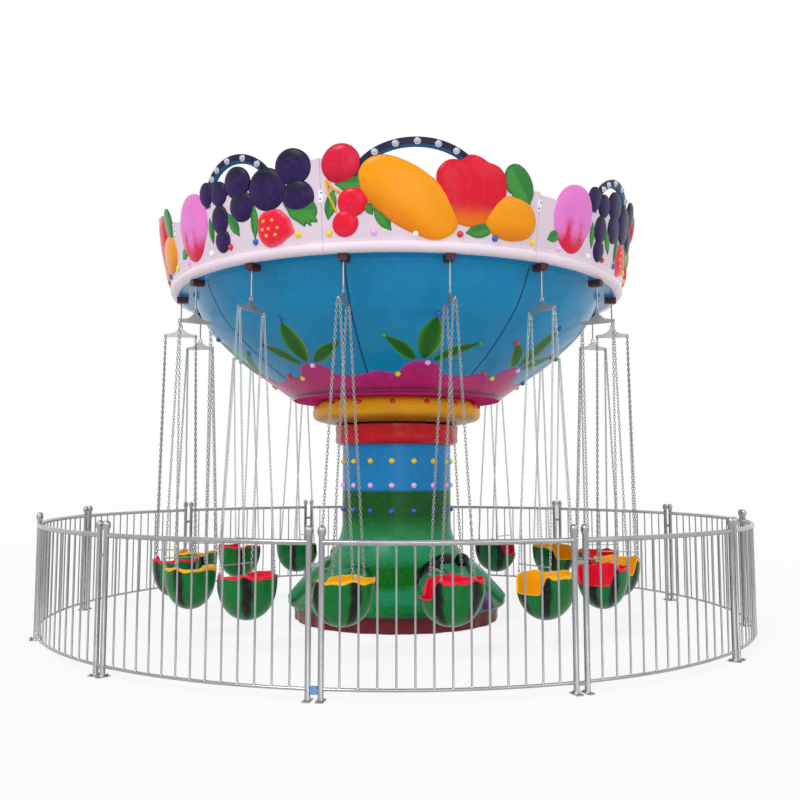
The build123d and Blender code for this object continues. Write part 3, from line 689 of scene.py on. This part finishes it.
# Each leaf: turn and height of its foot and of its tip, half width and its darker side.
LEAVES = (
    (0.0, 2.580, 1.2, 2.912, 0.122, 1), (3.2, 2.578, 17.2, 2.724, 0.060, 1),
    (-3.0, 2.578, -13.3, 2.752, 0.070, -1))
leaf_parts, leaf_tone = [], []
for k in range(SECTORS):
    for base_turn, base_z, tip_turn, tip_z, half, side in LEAVES:
        middle_r = float(bowl_r((base_z + tip_z) / 2))
        run = np.array([math.radians(tip_turn - base_turn) * middle_r, tip_z - base_z])
        across = np.array([-run[1], run[0]]) / np.linalg.norm(run)
        slim = 1 if abs(run[0]) < run[1] else 0.8
        points = []
        for i in range(LEAF_ROWS):
            for j in range(LEAF_STEPS):
                u, v = j / (LEAF_STEPS - 1), i / (LEAF_ROWS - 1)
                width = half * math.sin(math.pi * v ** 0.85) ** 0.8 * (u - 0.5) * 2
                x, z = run * v + across * width * slim
                turn = FAN + SECTOR * k + base_turn + math.degrees(x / middle_r)
                points.append(on_bowl(turn, base_z + z, 0.003 if min(u, 1 - u, v, 1 - v) > 0 else -0.002))
                leaf_tone.append(abs(u - 0.5) * 2 * (1.0 if (u - 0.5) * side < 0 else 0.86))
        leaf_parts.append((points, quads(LEAF_ROWS, LEAF_STEPS, over=True)))
leaf_tone = np.array(leaf_tone)
tones = sprayed("#0E5E0C", "#2E8408", smooth(leaf_tone, 0.35, 0.8))
tones = sprayed(tones, "#C4A008", smooth(leaf_tone, 0.80, 0.97))
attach(made("bowl_leaves", leaf_parts, gelcoat("stencilled_leaf_paint", None, 0.34, 0.2), 60, tones), "rotor")

# Each row of lamps: name, colour, first sector and step, and turns from the fan with heights.
LEAF_TIPS, LOW_LOBE = ((-13.6, 2.762), (17.6, 2.727)), ((-16.3, 2.496),)
for name, colour, first, step, spots in (
        ("lamps_blue", "blue", 0, 1, ((1.2, 2.934),)), ("lamps_pink", "pink", 0, 1, ((1.7, 2.556),)),
        ("lamps_yellow", "yellow", 0, 1, ((-9.3, 2.463),)), ("tip_lamps_0", "green", 0, 4, LEAF_TIPS),
        ("tip_lamps_1", "red", 1, 4, LEAF_TIPS), ("tip_lamps_2", "green", 2, 4, LEAF_TIPS),
        ("tip_lamps_3", "blue", 3, 4, LEAF_TIPS), ("low_lamps_blue", "blue", 0, 2, LOW_LOBE),
        ("low_lamps_red", "red", 1, 2, LOW_LOBE)):
    places = []
    for k in range(first, SECTORS, step):
        for turn, z in spots:
            turn += FAN + SECTOR * k
            facing = np.subtract(on_bowl(turn, z, 0.01), on_bowl(turn, z))
            places.append((on_bowl(turn, z, 0.003), facing))
    lamps(f"bowl_{name}", colour, places, "rotor")

# Saucer. A turned-looking glass-fibre ring under the bowl's floor, in gold metallic gelcoat,
# with sixteen red cap lamps on its upper slope.
RING_R, RING_LOW, RING_TOP = 0.909, 2.056, 2.2985
saucer = curve([
    (0.695, RING_LOW), (RING_R - 0.035, 2.102), (RING_R - 0.001, 2.184), (RING_R - 0.035, 2.252),
    (RING_R - 0.110, RING_TOP)], 30)
saucer[:, 0] = np.minimum(saucer[:, 0], RING_R - 0.0005)
points, faces = spun(np.concatenate([[(0.60, RING_LOW)], saucer, [(0.40, RING_TOP)]]), full_turn(144), True)
# Painted shade browns the ring's lower part, and painted light brightens its upper slope to pale yellow in the
# shade of the bowl's foot.
tones = sprayed("#E8A008", "#8A4E10", (1 - smooth(points[:, 2], 2.06, 2.16)) * 0.75)
tones = sprayed(tones, "#FFD824", smooth(points[:, 2], 2.17, 2.26))
ring = made("saucer_ring", [(points, faces)], gelcoat("gold_gelcoat_saucer", None, 0.3, 0.18), 38, tones)
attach(ring, "rotor")
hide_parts("gold_ring")
places = [(out * (RING_R - 0.026) + (0, 0, 2.238), out + (0, 0, 0.6)) for out in ways_out(-2.5)]
lamps("saucer_lamps", "red", places, "rotor")

# Crown walls. Eight leaning glass-fibre mouldings in pale pink, joined end to end by bolted
# white plates. Each runs down into its own length of pipe-like rim roll, and on each stands
# a dark basket handle with five ringed lamps.
FIRST_JOINT, RIM_HIGH, ROLL_R, ROLL_IN_R = -14.9, 3.458, 2.413, 2.3255
WALL_R, WALL_LEAN, WALL_T, WALL_STEPS = 2.405, math.radians(9), 0.024, 65
ARCH_FOOT, ARCH_BAND, ARCH_STEPS, PLATE_Z = 3.90, 0.077, 60, 3.825
wall_paint = gelcoat("pale_pink_gelcoat_crown", None, 0.26, 0.07)
handle_paint = gelcoat("midnight_blue_gelcoat_handle", None, 0.28, 0.1)
white_paint = gelcoat("white_painted_plate", "#F2F0F4", 0.35)
rusty_bolt = primed_steel("rusty_bolt_steel", "#4A2A2A", "#5A2A16", 0.8)
# Each arch: its middle, half width and top. Lamps by their place along the wall. The crest
# gives the wall's top edge along it.
DESIGNS = {
    "a": {"first": 1, "arch": (0.140, 0.430, 4.285), "lamps": (-0.151, -0.070, 0.070, 0.251, 0.400), "crest": (
        (-1.0, 3.930), (-0.70, 3.900), (-0.24, 3.960), (0.50, 3.960), (0.70, 4.050), (0.85, 4.140), (1.0, 4.140))},
    "b": {"first": 0, "arch": (-0.155, 0.580, 4.282), "lamps": (-0.516, -0.346, -0.166, 0.009, 0.162), "crest": (
        (-1.0, 4.140), (-0.86, 4.140), (-0.62, 4.000), (-0.30, 3.950), (0.06, 3.960), (0.70, 3.960), (1.0, 3.930))}}
MIDDLES = {
    design: [FIRST_JOINT + SECTOR * (k + 0.5) for k in range(facts["first"], SECTORS, 2)]
    for design, facts in DESIGNS.items()}


def wall_r(z):
    return WALL_R + (z - RIM_HIGH) * math.tan(WALL_LEAN)


def on_crown(x, z, out=0.0):
    """Point on the crown wall: x along it from the panel's middle, z up, and out from it."""
    r = wall_r(z)
    a = x / r
    return ((r + out) * math.sin(a), -(r + out) * math.cos(a), z)


roll_r = (RIM_HIGH - RIM_LOW) / 2
roll = [(ROLL_IN_R, RIM_LOW), (2.350, RIM_LOW)] + [
    (ROLL_R - roll_r + roll_r * math.cos(a), RIM_LOW + roll_r + roll_r * math.sin(a))
    for a in np.radians((-90, -65, -42, -20, 0, 20, 40, 55))]
roll += [(2.3965, 3.4525), (2.3985, 3.4600), (2.4025, 3.4700)]
half_turn = math.radians(SECTOR / 2 - 0.035)
arch_section = (
    (0, 0.000), (0.06, 0.008), (0.3, 0.012), (0.7, 0.012), (0.94, 0.008), (1, 0.000), (1, -0.022), (0, -0.022))
bolt = spun([(0.007, -0.004), (0.007, 0.004), (0.005, 0.006), (0.0, 0.006)], range(0, 360, 60), close=True)
tab = slab(0.020, 0.052, -0.002, 0.004, 0.004, 0.001)
lying = np.array([(1, 0, 0), (0, -math.sin(WALL_LEAN), math.cos(WALL_LEAN)), (0, -1, 0)])
for design, facts in DESIGNS.items():
    at_turns = np.linspace(-half_turn, half_turn, WALL_STEPS)
    tops = np.interp(at_turns * WALL_R, *np.array(facts["crest"]).T)
    tops = np.convolve(np.pad(tops, 4, mode="edge"), np.ones(9) / 9, "valid")
    rows = []
    for turn, top in zip(at_turns, tops):
        up = np.linspace(3.485, top - 0.006, 9)
        section = [
            *roll, *zip(wall_r(up), up), (wall_r(top) - 0.005, top), (wall_r(top) - WALL_T + 0.005, top),
            *zip(wall_r(up[::-1]) - WALL_T, up[::-1]), (WALL_R - WALL_T, RIM_HIGH), (ROLL_IN_R, RIM_HIGH)]
        rows += [(r * math.sin(turn), -r * math.cos(turn), z) for r, z in section]
    n = len(section)
    shell = np.array(rows), quads(WALL_STEPS, n, loop=True) + [face[::-1] for face in ends(WALL_STEPS, n)]
    tones = sprayed("#EFDCE5", "#DFCBD7", smooth(np.tile(shell[0][:, 2], 4), 3.45, 3.49))
    wall = made(f"crown_walls_{design}", around([shell], MIDDLES[design]), wall_paint, 35, tones)
    raw_inside(wall, -0.9)
    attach(wall, "rotor")
    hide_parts(f"crown_panels_{design}")

    middle, reach, top = facts["arch"]
    rise = top - ARCH_FOOT
    band = []
    for a in np.arange(ARCH_STEPS + 1) * (math.pi / ARCH_STEPS):
        for share, out in arch_section:
            w, h = reach - ARCH_BAND * share, rise - ARCH_BAND * share
            band.append(on_crown(middle - w * math.cos(a), ARCH_FOOT + h * math.sin(a), out - 0.002))
    handle = band, quads(ARCH_STEPS + 1, 8, loop=True) + ends(ARCH_STEPS + 1, 8)
    shade = np.tile([share for share, _ in arch_section], (ARCH_STEPS + 1) * 4)
    tones = sprayed("#101838", "#2C6FA8", smooth(shade, 0.86, 1.0))
    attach(made(f"crown_handles_{design}", around([handle], MIDDLES[design]), handle_paint, 40, tones), "rotor")
    places, plates, heads = [], [], []
    for at in MIDDLES[design]:
        for x in facts["lamps"]:
            share = (x - middle) / (reach - ARCH_BAND / 2)
            z = ARCH_FOOT + (rise - ARCH_BAND / 2) * math.sqrt(1 - share ** 2)
            here, out = turned([on_crown(x, z, 0.008), on_crown(x, z, 1.0)], at)
            places.append((here, out - here))
        for part, found in (
                (tab, plates), (placed(bolt, 0, (0.006, 0.026, 0.004)), heads),
                (placed(bolt, 0, (-0.006, -0.026, 0.004)), heads)):
            found.append(placed((part[0] @ lying, part[1]), at + SECTOR / 2, (0, -wall_r(PLATE_Z), PLATE_Z)))
    lamps(f"crown_handle_lamps_{design}", "grey", places, "rotor", white_paint)
    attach(made(f"crown_joint_plates_{design}", plates, white_paint), "rotor")
    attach(made(f"crown_joint_bolts_{design}", heads, rusty_bolt), "rotor")


# Fruit. Each fruit is a shallow hollow moulding bonded to the wall, airbrushed from light to
# deep tones before the last clear coat; on mangoes, oranges, red balls and strawberry seeds the
# deeper tone at the lower edge is painted shade. Leaves are flatter, with soft notched edges.
def fruit(x, z, half_w, half_h, tilt, depth, form=None, furrows=(), rings=9, sides=60):
    """Pillow form on the wall. form lists (angle, reach) round its outline; 0 points to +x."""
    lean = math.radians(tilt)
    a = np.linspace(0, 2 * math.pi, sides, endpoint=False)
    reach = np.ones(sides)
    if form:
        reach = np.interp(np.degrees(a), *np.array(form).T, period=360)
        reach = (np.roll(reach, 1) + 2 * reach + np.roll(reach, -1)) / 4
    points, spots = [], []
    for i in range(rings + 1):
        share = math.sin(math.pi / 2 * i / rings)
        for j in range(sides):
            u, v = share * math.cos(a[j]), share * math.sin(a[j])
            lift = depth * max(0, 1 - share ** 3) ** 0.6 if i < rings else -0.010
            lift -= sum(0.012 * math.exp(-((u - at) / 0.10) ** 2) * (v < 0.2) * (1 - share) for at in furrows)
            s, t = half_w * reach[j] * u, half_h * reach[j] * v
            points.append(on_crown(
                x + s * math.cos(lean) - t * math.sin(lean), z + s * math.sin(lean) + t * math.cos(lean), lift))
            spots.append((u, v, share))
    return (np.array(points), quads(rings + 1, sides, loop=True)), np.array(spots)


def crowned(name, design, shapes, light, deep, tone, rough=0.26):
    """Like fruit of one design, four times round the crown. tone gives the deep colour's share."""
    parts, spots = zip(*[fruit(*shape) for shape in shapes])
    tones = np.tile(sprayed(light, deep, tone(np.concatenate(spots))), (4, 1))
    paint = gelcoat(f"airbrushed_gelcoat_{name}", None, rough, 0.1)
    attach(made(f"crown_{name}", around(parts, MIDDLES[design]), paint, 60, tones), "rotor")


def under(spots):
    """Darker towards the lower edge: painted shade, where the fruit's relief turns away from the light."""
    return smooth(-spots[:, 1], 0.1, 1.0) * 0.8


def blush_and_crease_shade(spots):
    """A peach's blush up from the lower edge, with painted shade higher along its two furrows."""
    left, right = (np.exp(-((spots[:, 0] - at) / width) ** 2) for at, width in ((-0.37, 0.12), (0.25, 0.10)))
    return np.clip(smooth(-spots[:, 1], 0.35, 0.85) + smooth(-spots[:, 1], -0.1, 0.3) * (left + 0.6 * right), 0, 1)


APPLE = (
    (0, 0.97), (21, 1.03), (33, 1.09), (44, 1.08), (54, 1.03), (62, 0.95), (72, 1.0), (90, 1.04), (101, 1.0),
    (109, 0.88), (118, 0.99), (129, 1.07), (140, 1.07), (150, 1.06), (165, 0.96), (189, 0.84), (225, 0.92),
    (251, 1.0), (268, 1.0), (290, 0.95), (325, 0.96))
BLOCKY = (
    (0, 1.0), (25, 1.01), (45, 1.045), (65, 1.01), (90, 1.0), (115, 1.01), (135, 1.04), (155, 1.01), (180, 1.0),
    (205, 1.01), (225, 1.04), (245, 1.01), (270, 1.0), (295, 1.01), (315, 1.045), (335, 1.01))
BERRY = (
    (0, 1.00), (50, 0.95), (62, 1.06), (97, 1.02), (125, 1.08), (151, 0.99), (176, 0.92), (200, 0.95), (217, 1.01),
    (244, 1.12), (270, 1.02), (310, 0.94), (332, 1.05), (340, 1.20), (348, 1.08))
PEACH = (
    (0, 0.97), (37, 1.05), (60, 1.03), (90, 1.00), (120, 1.03), (140, 1.06), (180, 1.05), (200, 1.03), (229, 1.00),
    (265, 1.03), (288, 1.00), (324, 0.86), (345, 0.93))
GRAPES = (
    (-0.265, 4.020, 0.097, 0.110, 0.028), (-0.087, 3.992, 0.111, 0.109, 0.030), (0.152, 4.043, 0.149, 0.139, 0.034),
    (0.182, 3.834, 0.141, 0.133, 0.031), (0.469, 3.936, 0.189, 0.183, 0.038), (0.740, 4.089, 0.168, 0.154, 0.034),
    (0.762, 3.840, 0.149, 0.139, 0.032), (-0.102, 3.769, 0.110, 0.130, 0.029), (-0.091, 3.580, 0.099, 0.104, 0.027))
STRAWBERRY = (0.503, 3.608, 0.182, 0.151)
SEEDS = ((-0.46, 0.38), (0.02, 0.38), (-0.56, -0.07), (-0.21, -0.07), (0.27, -0.07), (-0.37, -0.44), (0.12, -0.44))
seed_places = [(STRAWBERRY[0] + STRAWBERRY[2] * u, STRAWBERRY[1] + STRAWBERRY[3] * v) for u, v in SEEDS]
crowned("mangoes", "b", [(-0.228, 3.797, 0.480, 0.246, -33, 0.052, BLOCKY)], "#F59A02", "#E87A02", under)
crowned("apples", "b", [(0.305, 3.864, 0.328, 0.292, 0, 0.046, APPLE, (), 10, 90)], "#DC0E2C", "#F07A08",
        lambda spots: smooth(-spots[:, 1], 0.35, 0.95))
crowned("oranges", "b", [(0.672, 3.674, 0.258, 0.187, 0, 0.044, BLOCKY)], "#F09602", "#E87C02", under)
crowned("red_balls", "b", [(-0.800, 4.078, 0.168, 0.163, 0, 0.044)], "#D8143A", "#BC0C2C", under)
crowned("cherries", "b", [(-0.693, 3.762, 0.128, 0.122, 0, 0.036), (-0.751, 3.588, 0.112, 0.110, 0, 0.034)],
        "#EA0E32", "#E02444", under)
crowned("peaches", "a", [(-0.528, 3.782, 0.256, 0.302, 0, 0.042, PEACH, (-0.37, 0.25))],
        "#E67ACA", "#DE1440", blush_and_crease_shade)
crowned("grapes", "a", [(x, z, w, h, 0, d) for x, z, w, h, d in GRAPES], "#260F4C", "#0C0A26",
        lambda spots: np.maximum(smooth(spots[:, 1], 0.0, 0.8), smooth(-spots[:, 1], 0.6, 1.0) * 0.6), 0.36)
crowned("strawberries", "a", [(*STRAWBERRY, 0, 0.034, BERRY)], "#E81A38", "#F25A6E",
        lambda spots: smooth(spots[:, 2], 0.8, 1.0))
crowned("strawberry_seeds", "a", [(x, z, 0.026, 0.022, 0, 0.039, None, (), 5, 16) for x, z in seed_places],
        "#F6B02A", "#F09A10", under)

CHERRY_FORK = (-0.915, 3.950)
stems = []
for run in ((CHERRY_FORK, (-0.87, 3.882), (-0.785, 3.835)), (CHERRY_FORK, (-0.895, 3.83), (-0.83, 3.69))):
    stems.append(tube(curve([on_crown(x, z, 0.010) for x, z in run], 12), 0.010, 8))
stem_paint = gelcoat("yellow_gelcoat_stalks", "#E8A818", 0.3)
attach(made("crown_cherry_stalks", around(stems, MIDDLES["b"]), stem_paint), "rotor")

LEAF = (
    (0, 1.0), (12, 0.90), (30, 0.80), (60, 0.92), (90, 1.0), (120, 0.92), (150, 0.80), (168, 0.90), (180, 1.0),
    (192, 0.90), (210, 0.80), (240, 0.92), (270, 1.0), (300, 0.92), (330, 0.80), (348, 0.90))
BROAD = (
    (0, 1.05), (12, 0.93), (40, 0.95), (90, 1.0), (140, 0.98), (180, 0.9), (215, 0.9), (250, 0.95), (270, 1.0),
    (281, 0.82), (294, 1.02), (306, 0.82), (322, 1.04), (336, 0.86), (350, 0.98))
VINE = (
    (0, 0.95), (30, 0.95), (60, 0.95), (90, 0.95), (140, 1.22), (158, 0.85), (172, 0.68), (210, 0.60), (247, 0.60),
    (268, 0.75), (282, 0.98), (291, 0.76), (300, 1.14), (309, 0.84), (320, 1.20), (334, 0.92), (350, 0.96))
# Slim leaves: place, half length, half width, tilt and depth.
SLIM = {
    "b": ((-0.440, 3.618, 0.128, 0.052, -52, 0.016), (-0.881, 3.747, 0.130, 0.052, 80, 0.016),
          (0.390, 3.550, 0.140, 0.062, 12, 0.016), (-0.705, 3.912, 0.150, 0.072, 0, 0.014),
          (-0.555, 3.705, 0.066, 0.036, -60, 0.012)),
    "a": ((0.066, 3.697, 0.130, 0.052, -62, 0.016), (0.307, 3.684, 0.155, 0.042, 86, 0.014),
          (-0.238, 3.694, 0.128, 0.038, -84, 0.014), (-0.760, 3.594, 0.090, 0.052, 28, 0.014))}
LARGE = {
    "b": (0.748, 3.968, 0.196, 0.135, -55, 0.020, BROAD, (), 6, 100),
    "a": (0.765, 3.718, 0.170, 0.142, 0, 0.020, VINE, (), 6, 120)}


def midrib(spots):
    """Deeper green beside the middle line and at the edge of a leaf."""
    return np.maximum(smooth(spots[:, 1], -0.1, 0.1) * 0.7, smooth(spots[:, 2], 0.8, 1.0))


for design, slim in SLIM.items():
    leaves = [LARGE[design]] + [(*leaf, LEAF, (), 6, 48) for leaf in slim]
    crowned(f"leaves_{design}", design, leaves, "#429038", "#246C34", midrib)

WALL_LAMPS = {
    "b": ((-0.887, 3.516, "yellow"), (-0.512, 3.515, "pink"), (-0.161, 3.503, "white"), (0.214, 3.510, "red"),
          (0.528, 3.498, "blue"), (0.898, 3.506, "yellow")),
    "a": ((0.728, 3.532, "yellow"), (0.298, 3.514, "blue"), (0.002, 3.513, "red"), (-0.266, 3.502, "white"),
          (-0.690, 3.498, "pink"))}
for design, spots in WALL_LAMPS.items():
    for colour in sorted({spot[2] for spot in spots}):
        places = []
        for at in MIDDLES[design]:
            for x, z in [spot[:2] for spot in spots if spot[2] == colour]:
                here, out = turned([on_crown(x, z), on_crown(x, z, 1.0)], at)
                places.append((here, out - here))
        lamps(f"crown_lamps_{design}_{colour}", colour, places, "rotor")

# Brackets. Sixteen cast blocks are bolted under the rim and hold the pins that the swings hang
# on, in dark maroon paint with rust at the pins.
finish("brackets", primed_steel("maroon_paint_on_casting", "#45131B", "#5A2E1A", 0.6))

# Hangers. A hooked round rod, a laser-cut spreader plate, a lap bar and four runs of
# short-link chain for each seat, all hot-dip galvanised.
PIVOT_R, PIVOT_Z, SWINGS, SWING_STEP = 2.300, 3.330, 16, 22.5
PLATE_TOP, PLATE_LOW, PLATE_HALF, PLATE_END = 3.032, 2.942, 0.170, 0.034
SEAT_L, SEAT_R, SEAT_RIM = 0.280, 0.233, 0.675
LINK_PITCH, WIRE_R, LINK_HALF, LAP_RISE = 0.028, 0.0033, 0.0092, 0.065
FRONT_HOOK, BACK_HOOK = (-0.475 * SEAT_L, 0.833 * SEAT_R), (0.507 * SEAT_L, 0.814 * SEAT_R)


def galvanised(name, colour, rough=0.42):
    """Hot-dip zinc: grey spangle, dull in patches, with white bloom in the hollows."""
    material, tree, surface, place = new_material(name)
    spangle = node(tree, "TexVoronoi", {"Vector": place, "Scale": 90.0})
    bloom = node(tree, "TexNoise", {"Vector": place, "Scale": 14.0, "Detail": 6.0})
    tint = node(tree, "Mix", {0: bloom.outputs["Fac"], 6: linear(colour), 7: linear("#8E9491")}, data_type="RGBA")
    dull = node(tree, "MapRange", {
        "Value": spangle.outputs["Distance"], "To Min": rough * 0.7, "To Max": rough * 1.3})
    feed(surface, {"Base Color": tint.outputs[2], "Roughness": dull.outputs[0], "Metallic": 0.85})
    return material


def small_ring(centre, along, radius, height, wire, count, sides):
    """Ring of round wire that stands upright, along one level way."""
    turns = np.linspace(0, 2 * math.pi, count, endpoint=False)
    path = [np.add(centre, (*(radius * math.cos(a) * np.array(along)), height * math.sin(a))) for a in turns]
    return tube(path, wire, sides, close=True)


zinc_plate = galvanised("galvanised_plate", "#CCC4C2")
zinc_chain = galvanised("galvanised_chain", "#B6BCB8", 0.3)
hook = [(0, y, PLATE_TOP + up) for y, up in (
    (0.0, 0.052), (0.004, 0.040), (0.016, 0.022), (0.013, 0.004), (0.0, -0.006), (-0.014, 0.004), (-0.016, 0.020),
    (-0.008, 0.032))]
fitting = [
    tube([(0, 0, z) for z in np.linspace(PLATE_TOP + 0.050, PIVOT_Z - 0.018, 6)], 0.0078, 12),
    small_ring((0, 0, PIVOT_Z), (0, 1), 0.013, 0.013, 0.0045, 18, 10), tube(curve(hook, 28), 0.006, 10)]
end_r, end_y = PLATE_END / 2, PLATE_HALF - PLATE_END / 2
half_outline = [
    (end_y + end_r * math.cos(a), PLATE_LOW + end_r + end_r * math.sin(a))
    for a in np.radians(np.linspace(-90, 90, 9))]
half_outline += [tuple(p) for p in curve([
    (end_y, PLATE_LOW + PLATE_END), (0.10, PLATE_LOW + 0.040), (0.058, PLATE_LOW + 0.056),
    (0.030, PLATE_TOP - 0.006), (0.018, PLATE_TOP)], 12)[1:]]
outline = half_outline + [(-y, z) for y, z in reversed(half_outline)]
n = len(outline)
plate = [(x, y, z) for x in (-0.005, 0.005) for y, z in outline]
fitting.append((plate, ends(2, n) + quads(2, n, loop=True, over=True)))
for y in (-end_y, end_y):
    fitting.append(tube([(-0.010, y, PLATE_LOW + end_r), (0.010, y, PLATE_LOW + end_r)], 0.006, 10))
share = LAP_RISE / (PLATE_LOW + end_r - SEAT_RIM)
lap_x = FRONT_HOOK[0] * (1 - share) - 0.010 * share
lap_end = FRONT_HOOK[1] * (1 - share) + end_y * share - 0.006
fitting.append(tube([(lap_x, y, SEAT_RIM + LAP_RISE) for y in np.linspace(-lap_end, lap_end, 9)], 0.0058, 10))
for x, y in (FRONT_HOOK, BACK_HOOK):
    for side in (-1, 1):
        fitting.append(small_ring((x, side * y, SEAT_RIM + 0.003), (1, 0), 0.010, 0.011, 0.0035, 14, 8))

link_path = []
for a in np.radians(np.arange(8) * 45 + 22.5):
    stretch = LINK_PITCH / 2 - LINK_HALF + 0.0052
    link_path.append((LINK_HALF * math.cos(a), 0, LINK_HALF * math.sin(a) + stretch * np.sign(math.sin(a))))
link = tube(link_path, WIRE_R, 4, close=True)


def chain(top, foot):
    """Short-link chain between two points, every other link turned a quarter."""
    run = np.subtract(foot, top)
    length = np.linalg.norm(run)
    count = int(round(length / LINK_PITCH))
    down = run / length
    side = unit(np.cross(down, (0, 1, 0)))
    other = np.cross(down, side)
    parts = []
    for i in range(count):
        basis = np.stack([side, other, down]) if i % 2 else np.stack([other, -side, down])
        parts.append((link[0] @ basis + top + run * (i + 0.5) / count, link[1]))
    return joined(parts)


chains = []
for side in (-1, 1):
    for (x, y), way in ((FRONT_HOOK, -1), (BACK_HOOK, 1)):
        chains.append(chain((way * 0.011, side * end_y, PLATE_LOW + 0.012), (x, side * y, SEAT_RIM + 0.010)))
chains = joined(chains)
for k in range(SWINGS):
    turn, at = SWING_STEP * (k + 0.5), (0, -PIVOT_R, 0)
    fittings = made(f"hanger_fittings_{k + 1:02d}", [placed(part, turn, at) for part in fitting], zinc_plate)
    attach(fittings, f"swing_{k + 1:02d}")
    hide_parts(f"hanger_{k + 1:02d}")
    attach(made(f"chains_{k + 1:02d}", [placed(chains, turn, at)], zinc_chain, 80), f"swing_{k + 1:02d}")

# Seats. Half-melon tubs laid up in a two-part mould: a green shell with black stripes, a
# coloured lining, a wavy lip where the lining rolls over the rim, and a low front to climb in.
SEAT_LOW, SEAT_T, FRONT_LOW, AROUND, ROWS = 0.275, 0.018, 0.513, 96, 16
STRIPES = (0, 52, 128, 232, 308)
melon = gelcoat("striped_green_gelcoat_tub", None, 0.24, 0.1)
linings = gelcoat("red_gelcoat_lining", "#F01038", 0.3, 0.1), gelcoat("yellow_gelcoat_lining", "#FFB80A", 0.3, 0.08)
angles = full_turn(AROUND)
cos_a, sin_a = np.cos(np.radians(angles)), np.sin(np.radians(angles))
from_front = np.abs(gap_to(angles, 180))
opened = 1 - smooth(from_front, 38, 57)
wave = 0.009 * np.sin(np.radians(5 * angles + 35)) + 0.004 * np.sin(np.radians(11 * angles))
edge = (SEAT_RIM - 0.013 + wave) * (1 - opened) + FRONT_LOW * opened


def tub_ring(heights, inset):
    """One point for each angle on the tub's side, moved in by an inset."""
    share = np.clip((heights - SEAT_LOW) / (SEAT_RIM - SEAT_LOW), 0, 1)
    out = np.sqrt(np.clip(1 - (1 - share) ** 2.8, 0, 1))
    return np.stack([
        np.maximum((SEAT_L - 0.002) * out - inset, 0) * cos_a,
        np.maximum((SEAT_R - 0.002) * out - inset, 0) * sin_a, np.broadcast_to(heights, AROUND)], 1)


def tub_surface(inset):
    """Points from the tub's foot to its edge, on the outside or inside of the shell."""
    low = SEAT_LOW + inset * 1.2
    rings = []
    for share in np.arange(ROWS + 1) / ROWS:
        ring = tub_ring(low + (edge - low) * share ** 1.6, inset * smooth(share, 0, 0.25))
        rings.append(ring * ((1, 1, 1) if share else (0, 0, 1)))
    return np.stack(rings, 1).reshape(-1, 3)


faces = quads(AROUND, ROWS + 1, ring=True)
shell = tub_surface(0.0), faces
lining = tub_surface(SEAT_T), [face[::-1] for face in faces]
turns = np.repeat(angles, ROWS + 1) + 1.2 * np.sin(np.radians(shell[0][:, 2] * 1900))
nearest = np.min([np.abs(gap_to(turns, 180 + stripe)) for stripe in STRIPES], 0)
tones = sprayed("#04702F", "#05280F", 1 - smooth(nearest, 8.5, 13.5))
tones = sprayed(tones, "#0A0A0A", 1 - smooth(nearest, 5.5, 9.0))
fall = 0.006 + (0.017 + 0.006 * np.sin(np.radians(9 * angles + 60))) * smooth(from_front, 52, 64)
lip = np.stack([tub_ring(edge + up, inset) for up, inset in (
    (-0.010, SEAT_T + 0.001), (0.001, SEAT_T - 0.001), (0.005, SEAT_T - 0.006), (0.004, 0.003), (-0.002, -0.001),
    (-fall / 2, -0.0012), (0.003 - fall, -0.001), (-fall, 0.002))], 1)
lip = lip.reshape(-1, 3), quads(AROUND, 8, ring=True, over=True)
for k in range(SWINGS):
    turn, at = SWING_STEP * (k + 0.5), (0, -PIVOT_R, 0)
    tub = made(f"tub_shell_{k + 1:02d}", [placed(shell, turn, at)], melon, 60, tones)
    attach(tub, f"swing_{k + 1:02d}")
    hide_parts(f"seat_{k + 1:02d}")
    inside = made(
        f"tub_lining_{k + 1:02d}", [placed(part, turn, at) for part in (lining, lip)], linings[k % 2], 60)
    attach(inside, f"swing_{k + 1:02d}")
